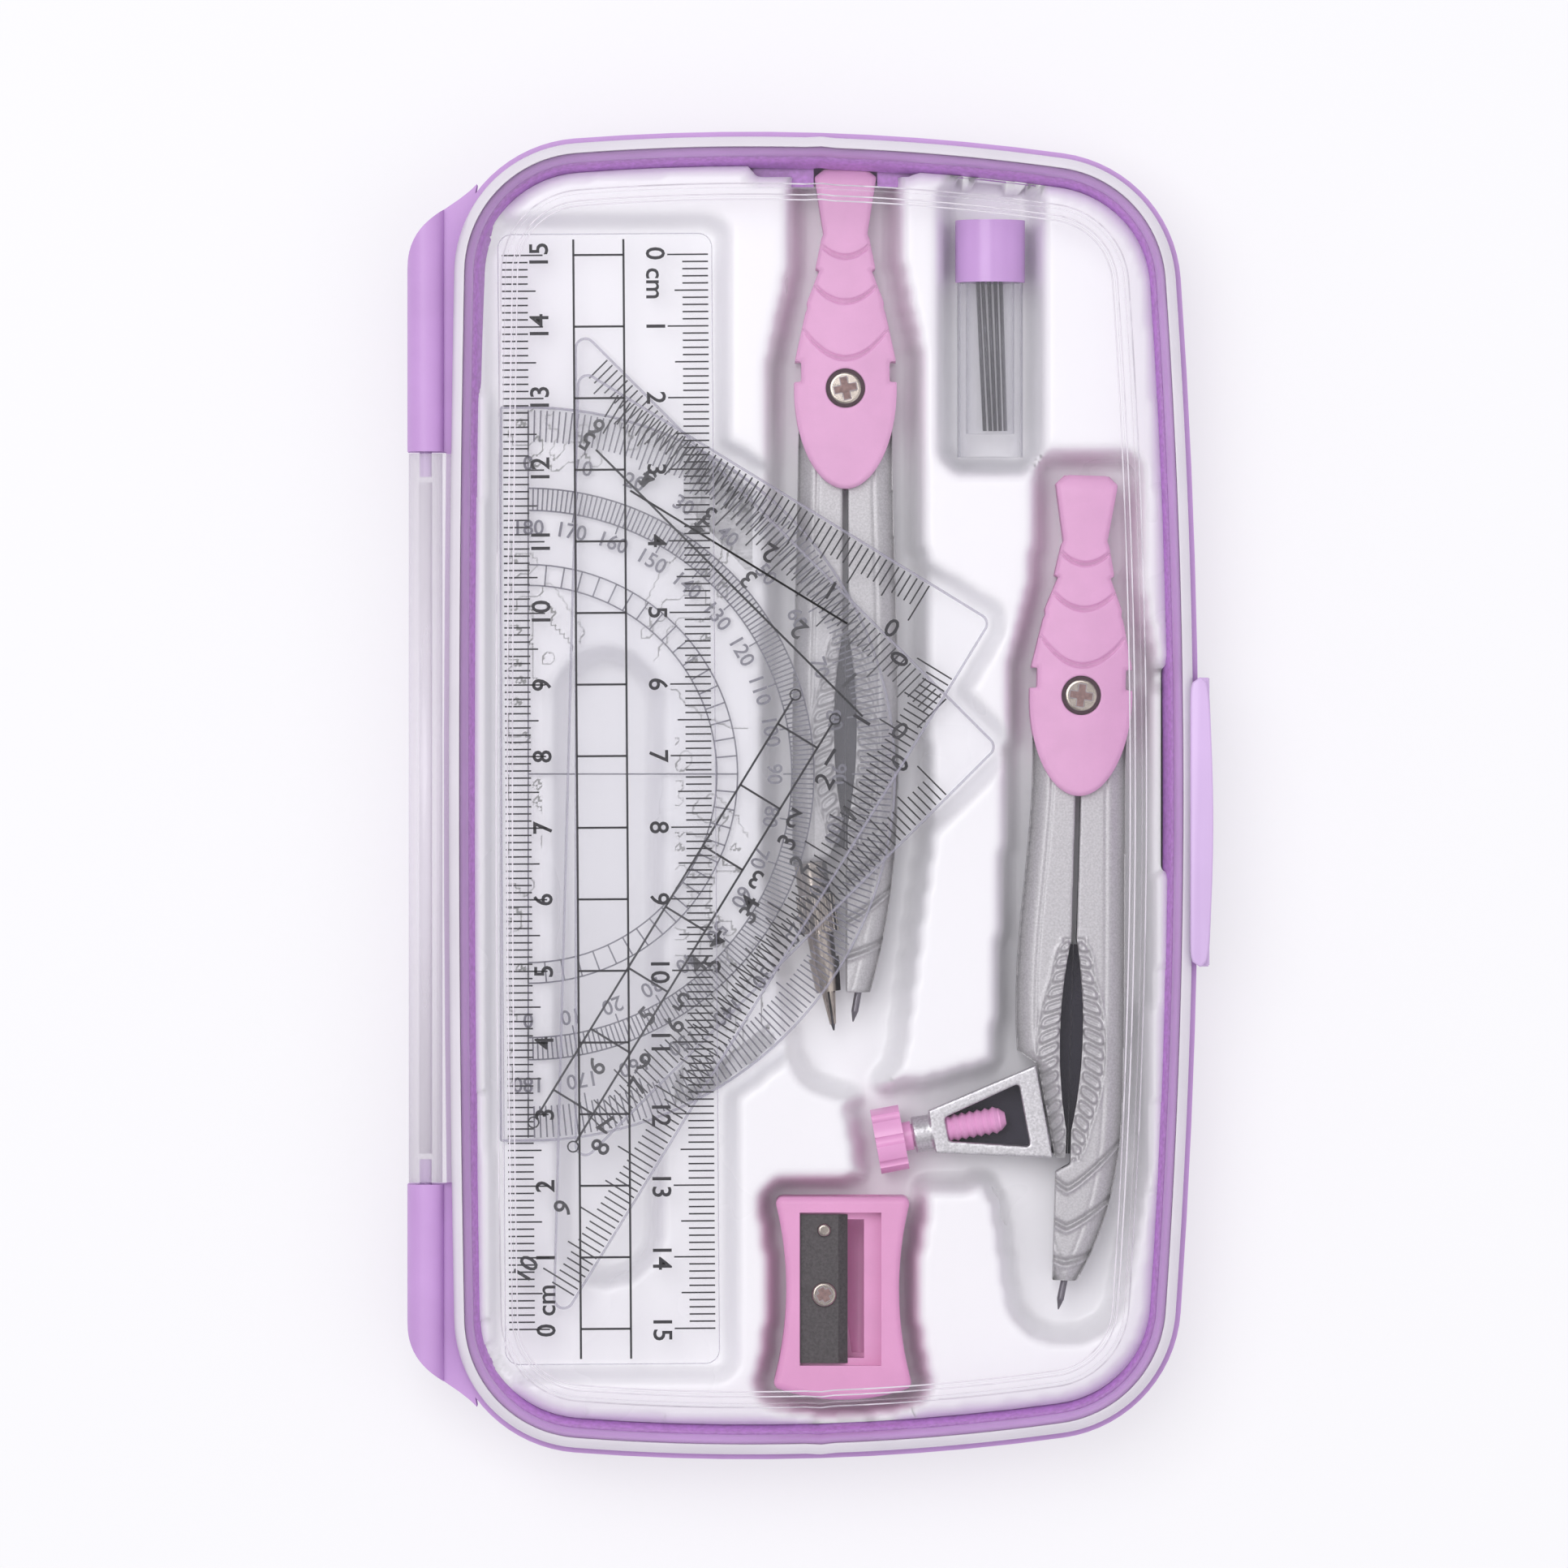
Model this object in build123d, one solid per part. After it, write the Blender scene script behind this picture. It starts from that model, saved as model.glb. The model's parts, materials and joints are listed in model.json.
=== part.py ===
"""Drafting instrument case: a hinged clear-lidded box with a moulded tray of school drawing tools.

Frame: millimetres, +Z up, the case lying flat. The origin is the middle of the footprint, hinge and
latch included, on the surface that the base stands on. +Y runs along the case towards the compass
grips, and the hinge is on the -X side.
"""

from build123d import *
from math import cos, radians, sin, sqrt, tan
import os

os.makedirs("parts", exist_ok=True)

# ---------------------------------------------------------------- case shell
CASE_WIDTH = 105.4          # over the walls, without hinge and latch
CASE_LENGTH = 185.4
HINGE_SIDE_BOW = 1.0        # how far a long side bows out past its ends
LATCH_SIDE_BOW = 3.6
SIDE_BOW_END = 6.0          # from the case's end to where the bow is measured
END_R = 320.0               # bow of the two short ends
END_APEX_X = -10.0          # where they stand out furthest
CORNER_R = 19.0
HINGE_REACH = 5.1           # how far the hinge spine stands out of the wall
LATCH_REACH = 1.9
BASE_HEIGHT = 15.0
BASE_WALL = 1.6
BASE_FLOOR = 1.4
BASE_EDGE_R = 2.4           # rounding where wall meets floor, outside
LEDGE_WIDTH = 1.7           # shelf inside the rim that the lid's lip stands over
LEDGE_THICK = 1.2
RIM_STEP = 1.3              # shelf below the rim
LID_WALL = 1.4
LID_SHOULDER = 4.4          # height of the lid's side wall
LID_DOME = 2.1              # plateau above the shoulder
LID_EDGE_R = 2.4
PLATEAU_INSET = 8.0
PLATEAU_EDGE_R = 0.9
LIP_DEPTH = 1.0
LIP_THICK = 1.0
FIT = 0.2                   # clearance between parts that drop into each other

# ---------------------------------------------------------------- hinge and latch
HINGE_KNUCKLE_TOP = 85.4    # +Y end of the upper base knuckle
HINGE_LID_TOP = 47.7        # +Y end of the lid's barrel
HINGE_LID_BOTTOM = -54.0
HINGE_KNUCKLE_BOTTOM = -85.4
HINGE_SWEEP = 12.0          # length over which a knuckle sweeps into the case's corner
HINGE_JOIN_INSET = 4.6      # from the case's side to where it meets the corner
HINGE_END_GAP = 0.3
HINGE_WEB = 7.0             # depth of the spine below the pin
HINGE_PIN_R = 0.85
HINGE_PIN_LENGTH = 14.0
PIN_RUNNING = 0.06          # radial clearance where a part turns on a pin
PIN_SNUG = 0.03             # radial clearance where a pin sits still
BARREL_LAND = 3.2           # solid end of the lid's barrel that the pin runs in
BARREL_CORE_R = 1.5
LATCH_LENGTH = 40.3
LATCH_Y = -3.7
LATCH_PIN_Z = 3.4
LATCH_PIN_R = 0.4
LATCH_THICK = 1.1
LATCH_RISE = 2.9            # how far the flap covers the lid's wall
LATCH_EAR = 3.0
LATCH_EAR_Y = 12.0          # ears either side of the flap's middle

# ---------------------------------------------------------------- tray
TRAY_SIDE_GAP = 4.0         # from the case's outside to the tray's edge
TRAY_END_GAP = 4.7
TRAY_WALL = 0.8
TRAY_TOP = 13.6
TRAY_SKIRT = 4.0
FLATS_FLOOR = 10.0          # shallow recess for the flat tools
THUMB_WIDTH = 23.0          # notch in the tray's far edge
THUMB_DEPTH = 1.5
THUMB_X = 1.8
LATCH_NOTCH_LENGTH = 29.0   # notch in the tray's edge beside the latch
LATCH_NOTCH_Y = 3.7
LATCH_NOTCH_DEPTH = 1.2
WELL_CORNER_R = 1.5
SCOOP_X, SCOOP_Y = -30.0, -24.0
SCOOP_WIDTH, SCOOP_LENGTH = 12.0, 86.0

# ---------------------------------------------------------------- flat tools
SHEET = 1.2                 # thickness of each flat tool
SHEET_GAP = 0.05
RULER_TO_END = 13.7         # from each end of the ruler to the case's end
RULER_WIDTH = 30.0
RULER_LENGTH = CASE_LENGTH - 2 * RULER_TO_END
RULER_X, RULER_Y, RULER_TURN = -29.7, -0.5, 0.4
RULER_CORNER_R = 2.0
RULER_BEVEL = 5.0
RULER_EDGE = 0.7            # thickness at the bevelled edges
PROTRACTOR_R = 51.5
PROTRACTOR_X, PROTRACTOR_Y = -41.0, 3.0
PROTRACTOR_STRIP = 4.0      # strip behind the base line
SQUARE_60_HYPOTENUSE = 136.0
SQUARE_60_X, SQUARE_60_Y, SQUARE_60_TURN = 23.9, 24.5, -1.5
SQUARE_45_LEG = 84.0
SQUARE_45_X, SQUARE_45_Y, SQUARE_45_TURN = 24.9, 6.8, 0.0
SQUARE_CORNER_R = 1.5
RECESS_GAP = 1.2            # room round the flat tools

# ---------------------------------------------------------------- compasses, in the pivot's own frame
PIVOT_A_TO_FAR_END = 35.7
PIVOT_A_X, TURN_A = 3.4, 0.0
PIVOT_A_Y = CASE_LENGTH / 2 - PIVOT_A_TO_FAR_END
PIVOT_B_TO_NEAR_END = 106.7
PIVOT_B_X, TURN_B = 36.4, -1.6
PIVOT_B_Y = PIVOT_B_TO_NEAR_END - CASE_LENGTH / 2
HEAD_THICK = 9.6
HEAD_TOP = 30.8
HEAD_BOTTOM = 14.1
HEAD_HALF = 7.2
GRIP_HALF = 4.35
GRIP_EDGE_R = 1.2
# each tier of the grip: start height, half width there, widest height, half width there
TIERS = [(21.0, 3.35, 16.8, 4.2), (15.9, 3.9, 12.0, 5.4), (10.6, 5.6, 3.75, 7.1)]
TIER_STEP = 0.55            # how far the edge falls back between tiers
GROOVE_WIDTH = 0.75
GROOVE_DEPTH = 0.5
CHEVRON_DROPS = [2.8, 4.0, 6.6]
CHEEK_NOTCH = (3.75, 0.9, 1.0)  # top, bottom and depth of the side notch
LEG_THICK = 5.0
LEG_GAP = 0.35              # half the slit between the legs
LEG_EDGE_R = 0.9
LUG_R = 5.8
LUG_GAP = 0.15              # half the gap between the lapped lugs
LAP_GAP = 0.6
LEG_TOP_HALF = 6.6
LEG_NECK_HALF, LEG_NECK_Y = 6.9, 22.0
LEG_BELLY_HALF, LEG_BELLY_Y = 7.5, 50.0
LEG_SHIN_HALF, LEG_SHIN_Y = 6.9, 66.0
EYE_TOP, EYE_BOTTOM, EYE_HALF = 34.0, 61.0, 1.6
BULGE_OUT, BULGE_RISE = 0.4, 6.0    # how the outer edge swells just above the belly
KNEE_Y = 65.6
KNEE_STEP = 1.2
FOOT_HALF = 1.7
FOOT_A_X, FOOT_A_Y = 1.8, 84.6      # middle of the foot's end on each compass
FOOT_B_X, FOOT_B_Y = 0.0, 82.0
CHEEK_GAP = 0.1             # between a head shell and the legs
SCREW_R = 1.5
SCREW_HEAD_R = 2.55
SCREW_HEAD_THICK = 1.1
SCREW_SINK = 0.4
NUT_ACROSS = 5.5
NUT_THICK = 1.6
CROSS_LENGTH, CROSS_WIDTH, CROSS_DEPTH = 3.2, 1.0, 0.6
WASHER_R = 4.2
NEEDLE_R = 0.5
NEEDLE_OUT, NEEDLE_IN, NEEDLE_TIP = 4.2, 6.0, 1.5
NEEDLE_TURN = 10.0          # the needle leans inwards

# lead chuck on compass A's left leg
CHUCK_TURN = 8.0
CHUCK_X, CHUCK_Y = -4.9, -66.5
CHUCK_BARREL_R, CHUCK_BARREL_LENGTH = 2.3, 4.6
CHUCK_SPIGOT_R, CHUCK_SPIGOT_LENGTH = 1.3, 5.0
COLLAR_R, COLLAR_LENGTH = 2.7, 5.4
COLLAR_FLUTES = 18
NOSE_TOP_R, NOSE_WAIST_R, NOSE_WAIST = 1.9, 1.75, 3.4
NOSE_BAND_R, NOSE_END_R, NOSE_LENGTH = 2.15, 1.75, 8.2
COLLET_R, COLLET_TIP_R, COLLET_LENGTH = 1.0, 0.45, 4.6
COLLET_SLOT = 0.3
LEAD_R, LEAD_OUT = 0.3, 0.9

# pencil holder on compass B's left leg, along its own axis from the leg outwards
HOLDER_X, HOLDER_Y, HOLDER_TURN = -3.5, -58.4, 12.0
HOLDER_LENGTH, HOLDER_ROOT_HALF, HOLDER_NOSE_HALF = 16.0, 6.6, 3.0
HOLDER_THICK = 5.0
HOLDER_BAR, HOLDER_ROOT_BAR = 2.1, 2.8
HOLDER_GAP = 0.3
HOLDER_PIN_R, HOLDER_PIN_LENGTH = 0.8, 1.9
BOSS_R, BOSS_LENGTH = 2.6, 2.6
THREAD_R, THREAD_CORE_R, THREAD_PITCH = 1.95, 1.6, 1.1
THREAD_REACH = 10.5         # from the nose inwards to the screw's end
THREAD_GAP = 0.05
SCREW_NECK_R, SCREW_NECK_LENGTH = 2.05, 1.2
KNOB_R, KNOB_THICK, KNOB_LOBES, KNOB_LOBE_R = 4.6, 4.0, 8, 0.75
KNOB_TRAVEL_GAP = 0.2

WELL_A_GAP = 2.4
WELL_B_GAP = 2.0
WELL_SLACK = 0.5            # extra room beside the legs
WELL_END_GAP = 13.0         # from the foot's end to the well's
WELL_END_HALF = 6.0
WELL_B_SHORT = 6.0          # how much nearer the foot the second well ends
HOLDER_WELL_GAP = 1.6

# ---------------------------------------------------------------- lead tube
TUBE_TO_FAR_END = 20.9       # from the tube's mouth to the case's end
TUBE_X = 23.7
TUBE_TOP_Y = CASE_LENGTH / 2 - TUBE_TO_FAR_END
TUBE_R, TUBE_WALL, TUBE_LENGTH = 4.6, 0.7, 24.4
TUBE_SPIGOT_R, TUBE_SPIGOT_LENGTH = 4.1, 5.5
TUBE_FOOT = 3.3
CAP_LENGTH, CAP_WALL = 8.8, 0.75
CAP_FIT = 0.05
CAP_TRAVEL = 4.6
SPARE_LEADS, SPARE_LEAD_R, SPARE_LEAD_LENGTH = 5, 0.5, 24.0
TUBE_WELL_GAP = 0.9
CAP_END_GAP = 0.6           # left between the drawn cap and the well's end

# ---------------------------------------------------------------- sharpener
SHARPENER_TO_NEAR_END = 23.3
SHARPENER_X = 3.0
SHARPENER_Y = SHARPENER_TO_NEAR_END - CASE_LENGTH / 2
SHARPENER_LENGTH = 26.6
SHARPENER_TOP_HALF, SHARPENER_WAIST_HALF, SHARPENER_FOOT_HALF = 9.6, 7.9, 9.8
SHARPENER_BELLY = 1.8       # bulge of the foot end
SHARPENER_HEIGHT = 11.6
SHARPENER_EDGE_R = 1.0
SHARPENER_GAP = 1.4
WINDOW_WIDTH, WINDOW_LENGTH, WINDOW_DEPTH = 11.4, 21.4, 2.2
WINDOW_X, WINDOW_Y = -0.3, 0.4
BLADE_WIDTH, BLADE_LENGTH, BLADE_THICK = 6.6, 20.8, 0.8
BLADE_BEVEL = 1.3
BLADE_SCREW_R, BLADE_SCREW_THICK, BLADE_SCREW_Y = 1.75, 0.8, -0.4
BLADE_SCREW_SHANK_R = 0.8
BLADE_RIVET_R, BLADE_RIVET_Y = 0.95, 8.6
BORE_X, BORE_Z = 2.2, 5.4
BORE_R, BORE_END_R, BORE_LENGTH = 4.1, 0.9, 22.0
SWARF_WIDTH = 3.6

# ---------------------------------------------------------------- derived places
CAP_R = TUBE_SPIGOT_R + CAP_FIT + CAP_WALL
CASE_SHIFT = Pos((HINGE_REACH - LATCH_REACH) / 2, 0, 0)
LID_TOP = BASE_HEIGHT + LID_SHOULDER + LID_DOME
HINGE_R = HINGE_REACH / 2
HINGE_X = -CASE_WIDTH / 2 - HINGE_R
HINGE_Z = BASE_HEIGHT
WELL_FLOOR = BASE_FLOOR + TRAY_WALL
TOOL_Z = WELL_FLOOR + HEAD_THICK / 2
AT_A = Pos(PIVOT_A_X, PIVOT_A_Y, TOOL_Z) * Rot(Z=TURN_A)
AT_B = Pos(PIVOT_B_X, PIVOT_B_Y, TOOL_Z) * Rot(Z=TURN_B)
LATCH_BARREL_R = (LATCH_REACH - FIT) / 2
LATCH_X = CASE_WIDTH / 2 + LATCH_REACH - LATCH_BARREL_R
FOOT_A, FOOT_B = (FOOT_A_X, FOOT_A_Y), (FOOT_B_X, FOOT_B_Y)
SHEET_PITCH = SHEET + SHEET_GAP
PROTRACTOR_Z = FLATS_FLOOR
SQUARE_45_Z = PROTRACTOR_Z + SHEET_PITCH
SQUARE_60_Z = SQUARE_45_Z + SHEET_PITCH
RULER_Z = SQUARE_60_Z + SHEET_PITCH

parts = {}


# ---------------------------------------------------------------- helpers
def layer(face, low, high):
    """The face, which lies at z 0, as a slab from one height to another."""
    return extrude(Pos(0, 0, low) * face, amount=high - low, dir=(0, 0, 1))


def polygon(points, radius=0.0):
    face = make_face(Polyline(*points, close=True))
    return fillet(face.vertices(), radius) if radius else face


def rod(start, end, radius, end_radius=None):
    """A cylinder or cone between two points."""
    way = Vector(*end) - Vector(*start)
    place = Plane(origin=start, z_dir=way)
    foot = (Align.CENTER, Align.CENTER, Align.MIN)
    if end_radius is None or end_radius == radius:
        return place * Cylinder(radius, way.length, align=foot)
    return place * Cone(radius, end_radius, way.length, align=foot)


def side_disc(bow, side, inset):
    """The disc whose edge is one long side's bow: side is -1 at the hinge and 1 at the latch."""
    half_chord = CASE_LENGTH / 2 - SIDE_BOW_END
    radius = (half_chord ** 2 + bow ** 2) / (2 * bow)
    return Pos(side * (CASE_WIDTH / 2 - radius), 0) * Circle(radius - inset)


def bowed_outline(side_inset=0.0, end_inset=None):
    """The case's plan, a rounded rectangle with four bowed sides, moved inwards by the insets."""
    end_inset = side_inset if end_inset is None else end_inset
    far = Pos(END_APEX_X, CASE_LENGTH / 2 - END_R) * Circle(END_R - end_inset)
    face = side_disc(HINGE_SIDE_BOW, -1, side_inset) & side_disc(LATCH_SIDE_BOW, 1, side_inset)
    face = face & far & mirror(far, about=Plane.XZ)
    return fillet(face.vertices(), CORNER_R - side_inset)


def edges_at(solid, z):
    """The edges that lie wholly at one height."""
    return [e for e in solid.edges() if abs(e.bounding_box().min.Z - z) < 1e-4
            and abs(e.bounding_box().max.Z - z) < 1e-4]


def keep(name, *solids):
    """Files one node: its solids, moved from the case's own frame to the part's."""
    moved = [CASE_SHIFT * s for s in solids]
    parts[name] = moved[0] if len(moved) == 1 else Compound(children=moved)


# ---------------------------------------------------------------- base, hinge and latch
def hinge_spine(y_end, y_start):
    """One base knuckle: a straight spine whose far end sweeps back into the case's corner."""
    inner = -CASE_WIDTH / 2 + HINGE_SIDE_BOW + BASE_WALL
    outer = HINGE_X - HINGE_R
    away = 1 if y_end > y_start else -1
    bend = y_end - away * HINGE_SWEEP
    join = -CASE_WIDTH / 2 + HINGE_JOIN_INSET
    plan = make_face([
        Line((inner, y_start), (outer, y_start)),
        Line((outer, y_start), (outer, bend)),
        Spline((outer, bend), (join, y_end),
               tangents=[(0, away * HINGE_SWEEP), (HINGE_SWEEP * 0.8, away * HINGE_SWEEP * 0.9)]),
        Line((join, y_end), (inner, bend)),
        Line((inner, bend), (inner, y_start)),
    ])
    block = layer(plan, HINGE_Z - HINGE_WEB, HINGE_Z)
    turned = rod((HINGE_X, y_start, HINGE_Z), (HINGE_X, y_end, HINGE_Z), HINGE_R)
    turned &= layer(plan, HINGE_Z - HINGE_WEB, HINGE_Z + HINGE_R)
    return block + turned


def base_shell():
    body = layer(bowed_outline(), 0, BASE_HEIGHT)
    body = fillet(edges_at(body, 0), BASE_EDGE_R)
    for y_end, y_start in ((HINGE_KNUCKLE_TOP, HINGE_LID_TOP + HINGE_END_GAP),
                           (HINGE_KNUCKLE_BOTTOM, HINGE_LID_BOTTOM - HINGE_END_GAP)):
        body += hinge_spine(y_end, y_start)
    body -= layer(bowed_outline(BASE_WALL), BASE_HEIGHT - RIM_STEP, BASE_HEIGHT + HINGE_R)
    body -= layer(bowed_outline(BASE_WALL + LEDGE_WIDTH), BASE_FLOOR, BASE_HEIGHT)
    body -= layer(bowed_outline(BASE_WALL), BASE_FLOOR, BASE_HEIGHT - RIM_STEP - LEDGE_THICK)
    for y, away in ((HINGE_LID_TOP, 1), (HINGE_LID_BOTTOM, -1)):
        body -= rod((HINGE_X, y, HINGE_Z), (HINGE_X, y + away * HINGE_PIN_LENGTH, HINGE_Z),
                    HINGE_PIN_R + PIN_SNUG)
    for side in (-1, 1):
        y = LATCH_Y + side * LATCH_EAR_Y
        ear = Pos(LATCH_X, y, LATCH_PIN_Z) * Cylinder(LATCH_BARREL_R, LATCH_EAR, rotation=(90, 0, 0))
        inner = CASE_WIDTH / 2 - BASE_WALL / 2
        ear += Pos((inner + LATCH_X) / 2, y, LATCH_PIN_Z) * Box(
            LATCH_X - inner, LATCH_EAR, 2 * LATCH_BARREL_R)
        body += ear
    reach = LATCH_LENGTH / 2
    body -= rod((LATCH_X, LATCH_Y - reach, LATCH_PIN_Z), (LATCH_X, LATCH_Y + reach, LATCH_PIN_Z),
                LATCH_PIN_R + PIN_SNUG)
    return body


def hinge_pins():
    half = HINGE_PIN_LENGTH - BARREL_LAND
    pins = []
    for y, away in ((HINGE_LID_TOP, 1), (HINGE_LID_BOTTOM, -1)):
        pins.append(rod((HINGE_X, y - away * BARREL_LAND, HINGE_Z),
                        (HINGE_X, y + away * half, HINGE_Z), HINGE_PIN_R))
    return pins


def lid():
    shoulder = BASE_HEIGHT + LID_SHOULDER
    shell = layer(bowed_outline(), BASE_HEIGHT, shoulder)
    shell = fillet(edges_at(shell, shoulder), LID_EDGE_R)
    dome = layer(bowed_outline(PLATEAU_INSET), BASE_HEIGHT, LID_TOP)
    dome = fillet(edges_at(dome, LID_TOP), PLATEAU_EDGE_R)
    shell += dome
    room = layer(bowed_outline(LID_WALL), BASE_HEIGHT, shoulder - LID_WALL)
    room = fillet(edges_at(room, shoulder - LID_WALL), LID_EDGE_R - LID_WALL)
    room += layer(bowed_outline(PLATEAU_INSET + LID_WALL), BASE_HEIGHT, LID_TOP - LID_WALL)
    shell -= room
    outside = BASE_WALL + FIT
    lip = layer(bowed_outline(outside), BASE_HEIGHT - LIP_DEPTH, BASE_HEIGHT + LID_WALL)
    lip -= layer(bowed_outline(outside + LIP_THICK), BASE_HEIGHT - LIP_DEPTH, BASE_HEIGHT + LID_WALL)
    rim = layer(bowed_outline(), BASE_HEIGHT, BASE_HEIGHT + LID_WALL)
    rim -= layer(bowed_outline(outside + LIP_THICK), BASE_HEIGHT, BASE_HEIGHT + LID_WALL)
    shell += lip + rim
    barrel = rod((HINGE_X, HINGE_LID_BOTTOM, HINGE_Z), (HINGE_X, HINGE_LID_TOP, HINGE_Z),
                 HINGE_R - FIT)
    middle, length = (HINGE_LID_TOP + HINGE_LID_BOTTOM) / 2, HINGE_LID_TOP - HINGE_LID_BOTTOM
    web_end = -CASE_WIDTH / 2 + HINGE_SIDE_BOW + LID_WALL / 2
    web_height = HINGE_R - FIT
    web = Pos((HINGE_X + web_end) / 2, middle, HINGE_Z + web_height / 2) * Box(
        web_end - HINGE_X, length, web_height)
    web -= layer(bowed_outline(LID_WALL), BASE_HEIGHT, LID_TOP)
    shell += barrel + web
    shell -= rod((HINGE_X, HINGE_LID_BOTTOM, HINGE_Z), (HINGE_X, HINGE_LID_TOP, HINGE_Z),
                 HINGE_PIN_R + PIN_RUNNING)
    shell -= rod((HINGE_X, HINGE_LID_BOTTOM + BARREL_LAND, HINGE_Z),
                 (HINGE_X, HINGE_LID_TOP - BARREL_LAND, HINGE_Z), BARREL_CORE_R)
    return shell


def latch_flap():
    """A bowed plate on a barrel: it pivots at its foot and covers the lid's wall at its head."""
    inner = CASE_WIDTH / 2 + FIT
    outer = CASE_WIDTH / 2 + LATCH_REACH
    half = LATCH_LENGTH / 2
    end = inner + LATCH_THICK
    plan = make_face([
        Line((inner, -half), (inner, half)),
        Line((inner, half), (end, half)),
        ThreePointArc((end, half), (outer, 0), (end, -half)),
        Line((end, -half), (inner, -half)),
    ])
    top = BASE_HEIGHT + LATCH_RISE
    flap = Pos(0, LATCH_Y, 0) * layer(plan, LATCH_PIN_Z, top)
    flap = fillet(edges_at(flap, top), LATCH_THICK * 0.4)
    ends = (LATCH_X, LATCH_Y - half, LATCH_PIN_Z), (LATCH_X, LATCH_Y + half, LATCH_PIN_Z)
    flap += rod(*ends, LATCH_BARREL_R)
    flap -= rod(*ends, LATCH_PIN_R + PIN_RUNNING)
    swing = LATCH_BARREL_R + FIT
    for side in (-1, 1):
        y = LATCH_Y + side * LATCH_EAR_Y
        flap -= Pos(inner, y, LATCH_PIN_Z) * Box(
            2 * (outer - inner) + FIT, LATCH_EAR + 2 * FIT, 2 * swing)
    return flap


def latch_pin():
    half = LATCH_LENGTH / 2 - FIT
    return rod((LATCH_X, LATCH_Y - half, LATCH_PIN_Z), (LATCH_X, LATCH_Y + half, LATCH_PIN_Z),
               LATCH_PIN_R)


# ---------------------------------------------------------------- flat tools
def ruler_place():
    return Pos(RULER_X, RULER_Y, 0) * Rot(Z=RULER_TURN)


def ruler_plan(gap=0.0):
    return ruler_place() * RectangleRounded(RULER_WIDTH + 2 * gap, RULER_LENGTH + 2 * gap,
                                            RULER_CORNER_R)


def ruler():
    """Bevelled along both long edges on the upper side."""
    half = RULER_WIDTH / 2
    section = polygon([(-half, 0), (half, 0), (half, RULER_EDGE), (half - RULER_BEVEL, SHEET),
                       (RULER_BEVEL - half, SHEET), (-half, RULER_EDGE)])
    bar = extrude(Plane.XZ * section, amount=RULER_LENGTH / 2, both=True)
    bar &= layer(RectangleRounded(RULER_WIDTH, RULER_LENGTH, RULER_CORNER_R), 0, SHEET)
    return Pos(0, 0, RULER_Z) * ruler_place() * bar


def protractor_plan(gap=0.0):
    radius, strip = PROTRACTOR_R + gap, PROTRACTOR_STRIP + gap
    half = make_face([
        ThreePointArc((0, -radius), (radius, 0), (0, radius)),
        Line((0, radius), (-strip, radius)),
        Line((-strip, radius), (-strip, -radius)),
        Line((-strip, -radius), (0, -radius)),
    ])
    return Pos(PROTRACTOR_X, PROTRACTOR_Y, 0) * half


def square_plan(x, y, turn, short, long, gap=0.0):
    """A right triangle: its square corner at x, y and its long side facing -X, turned by turn."""
    hypotenuse = sqrt(short ** 2 + long ** 2)
    depth = short * long / hypotenuse
    up = short ** 2 / hypotenuse
    face = polygon([(0, 0), (-depth, up), (-depth, up - hypotenuse)], SQUARE_CORNER_R)
    if gap:
        face = offset(face, amount=gap)
    return Pos(x, y, 0) * Rot(Z=turn) * face


def square_60_plan(gap=0.0):
    short = SQUARE_60_HYPOTENUSE / 2
    return square_plan(SQUARE_60_X, SQUARE_60_Y, SQUARE_60_TURN, short, short * sqrt(3), gap)


def square_45_plan(gap=0.0):
    return square_plan(SQUARE_45_X, SQUARE_45_Y, SQUARE_45_TURN, SQUARE_45_LEG, SQUARE_45_LEG, gap)


# ---------------------------------------------------------------- compasses
def head_half_points():
    """The right-hand edge of the head from the grip's end to the pivot."""
    points = [(GRIP_HALF - GRIP_EDGE_R, HEAD_TOP), (GRIP_HALF, HEAD_TOP - GRIP_EDGE_R)]
    for start, start_half, widest, widest_half in TIERS:
        points += [(start_half - TIER_STEP / 2, start + TIER_STEP), (start_half, start),
                   (widest_half, widest)]
    top, bottom, depth = CHEEK_NOTCH
    points += [(HEAD_HALF - depth, top), (HEAD_HALF - depth, bottom), (HEAD_HALF, bottom),
               (HEAD_HALF, 0)]
    return points


def head_plan():
    right = head_half_points()
    left = [(-x, y) for x, y in reversed(right)]
    upper = polygon(left + right)
    lower = Ellipse(HEAD_HALF, HEAD_BOTTOM) & Pos(0, -HEAD_BOTTOM / 2) * Rectangle(
        2 * HEAD_HALF, HEAD_BOTTOM)
    return upper + lower


def chevron(tier, drop):
    """The sunk band under one tier, dipping to a point in the middle."""
    _, _, y, half = TIERS[tier]
    start = TIERS[tier][0] + TIER_STEP
    width = half + 1.0
    curve = [(-width, start + 1.0), (0, start - drop), (width, start + 1.0)]
    low = [(x, v - GROOVE_WIDTH) for x, v in curve]
    return make_face([
        Spline(*curve), Line(curve[-1], low[-1]), Spline(*reversed(low)), Line(low[0], curve[0])
    ])


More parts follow.
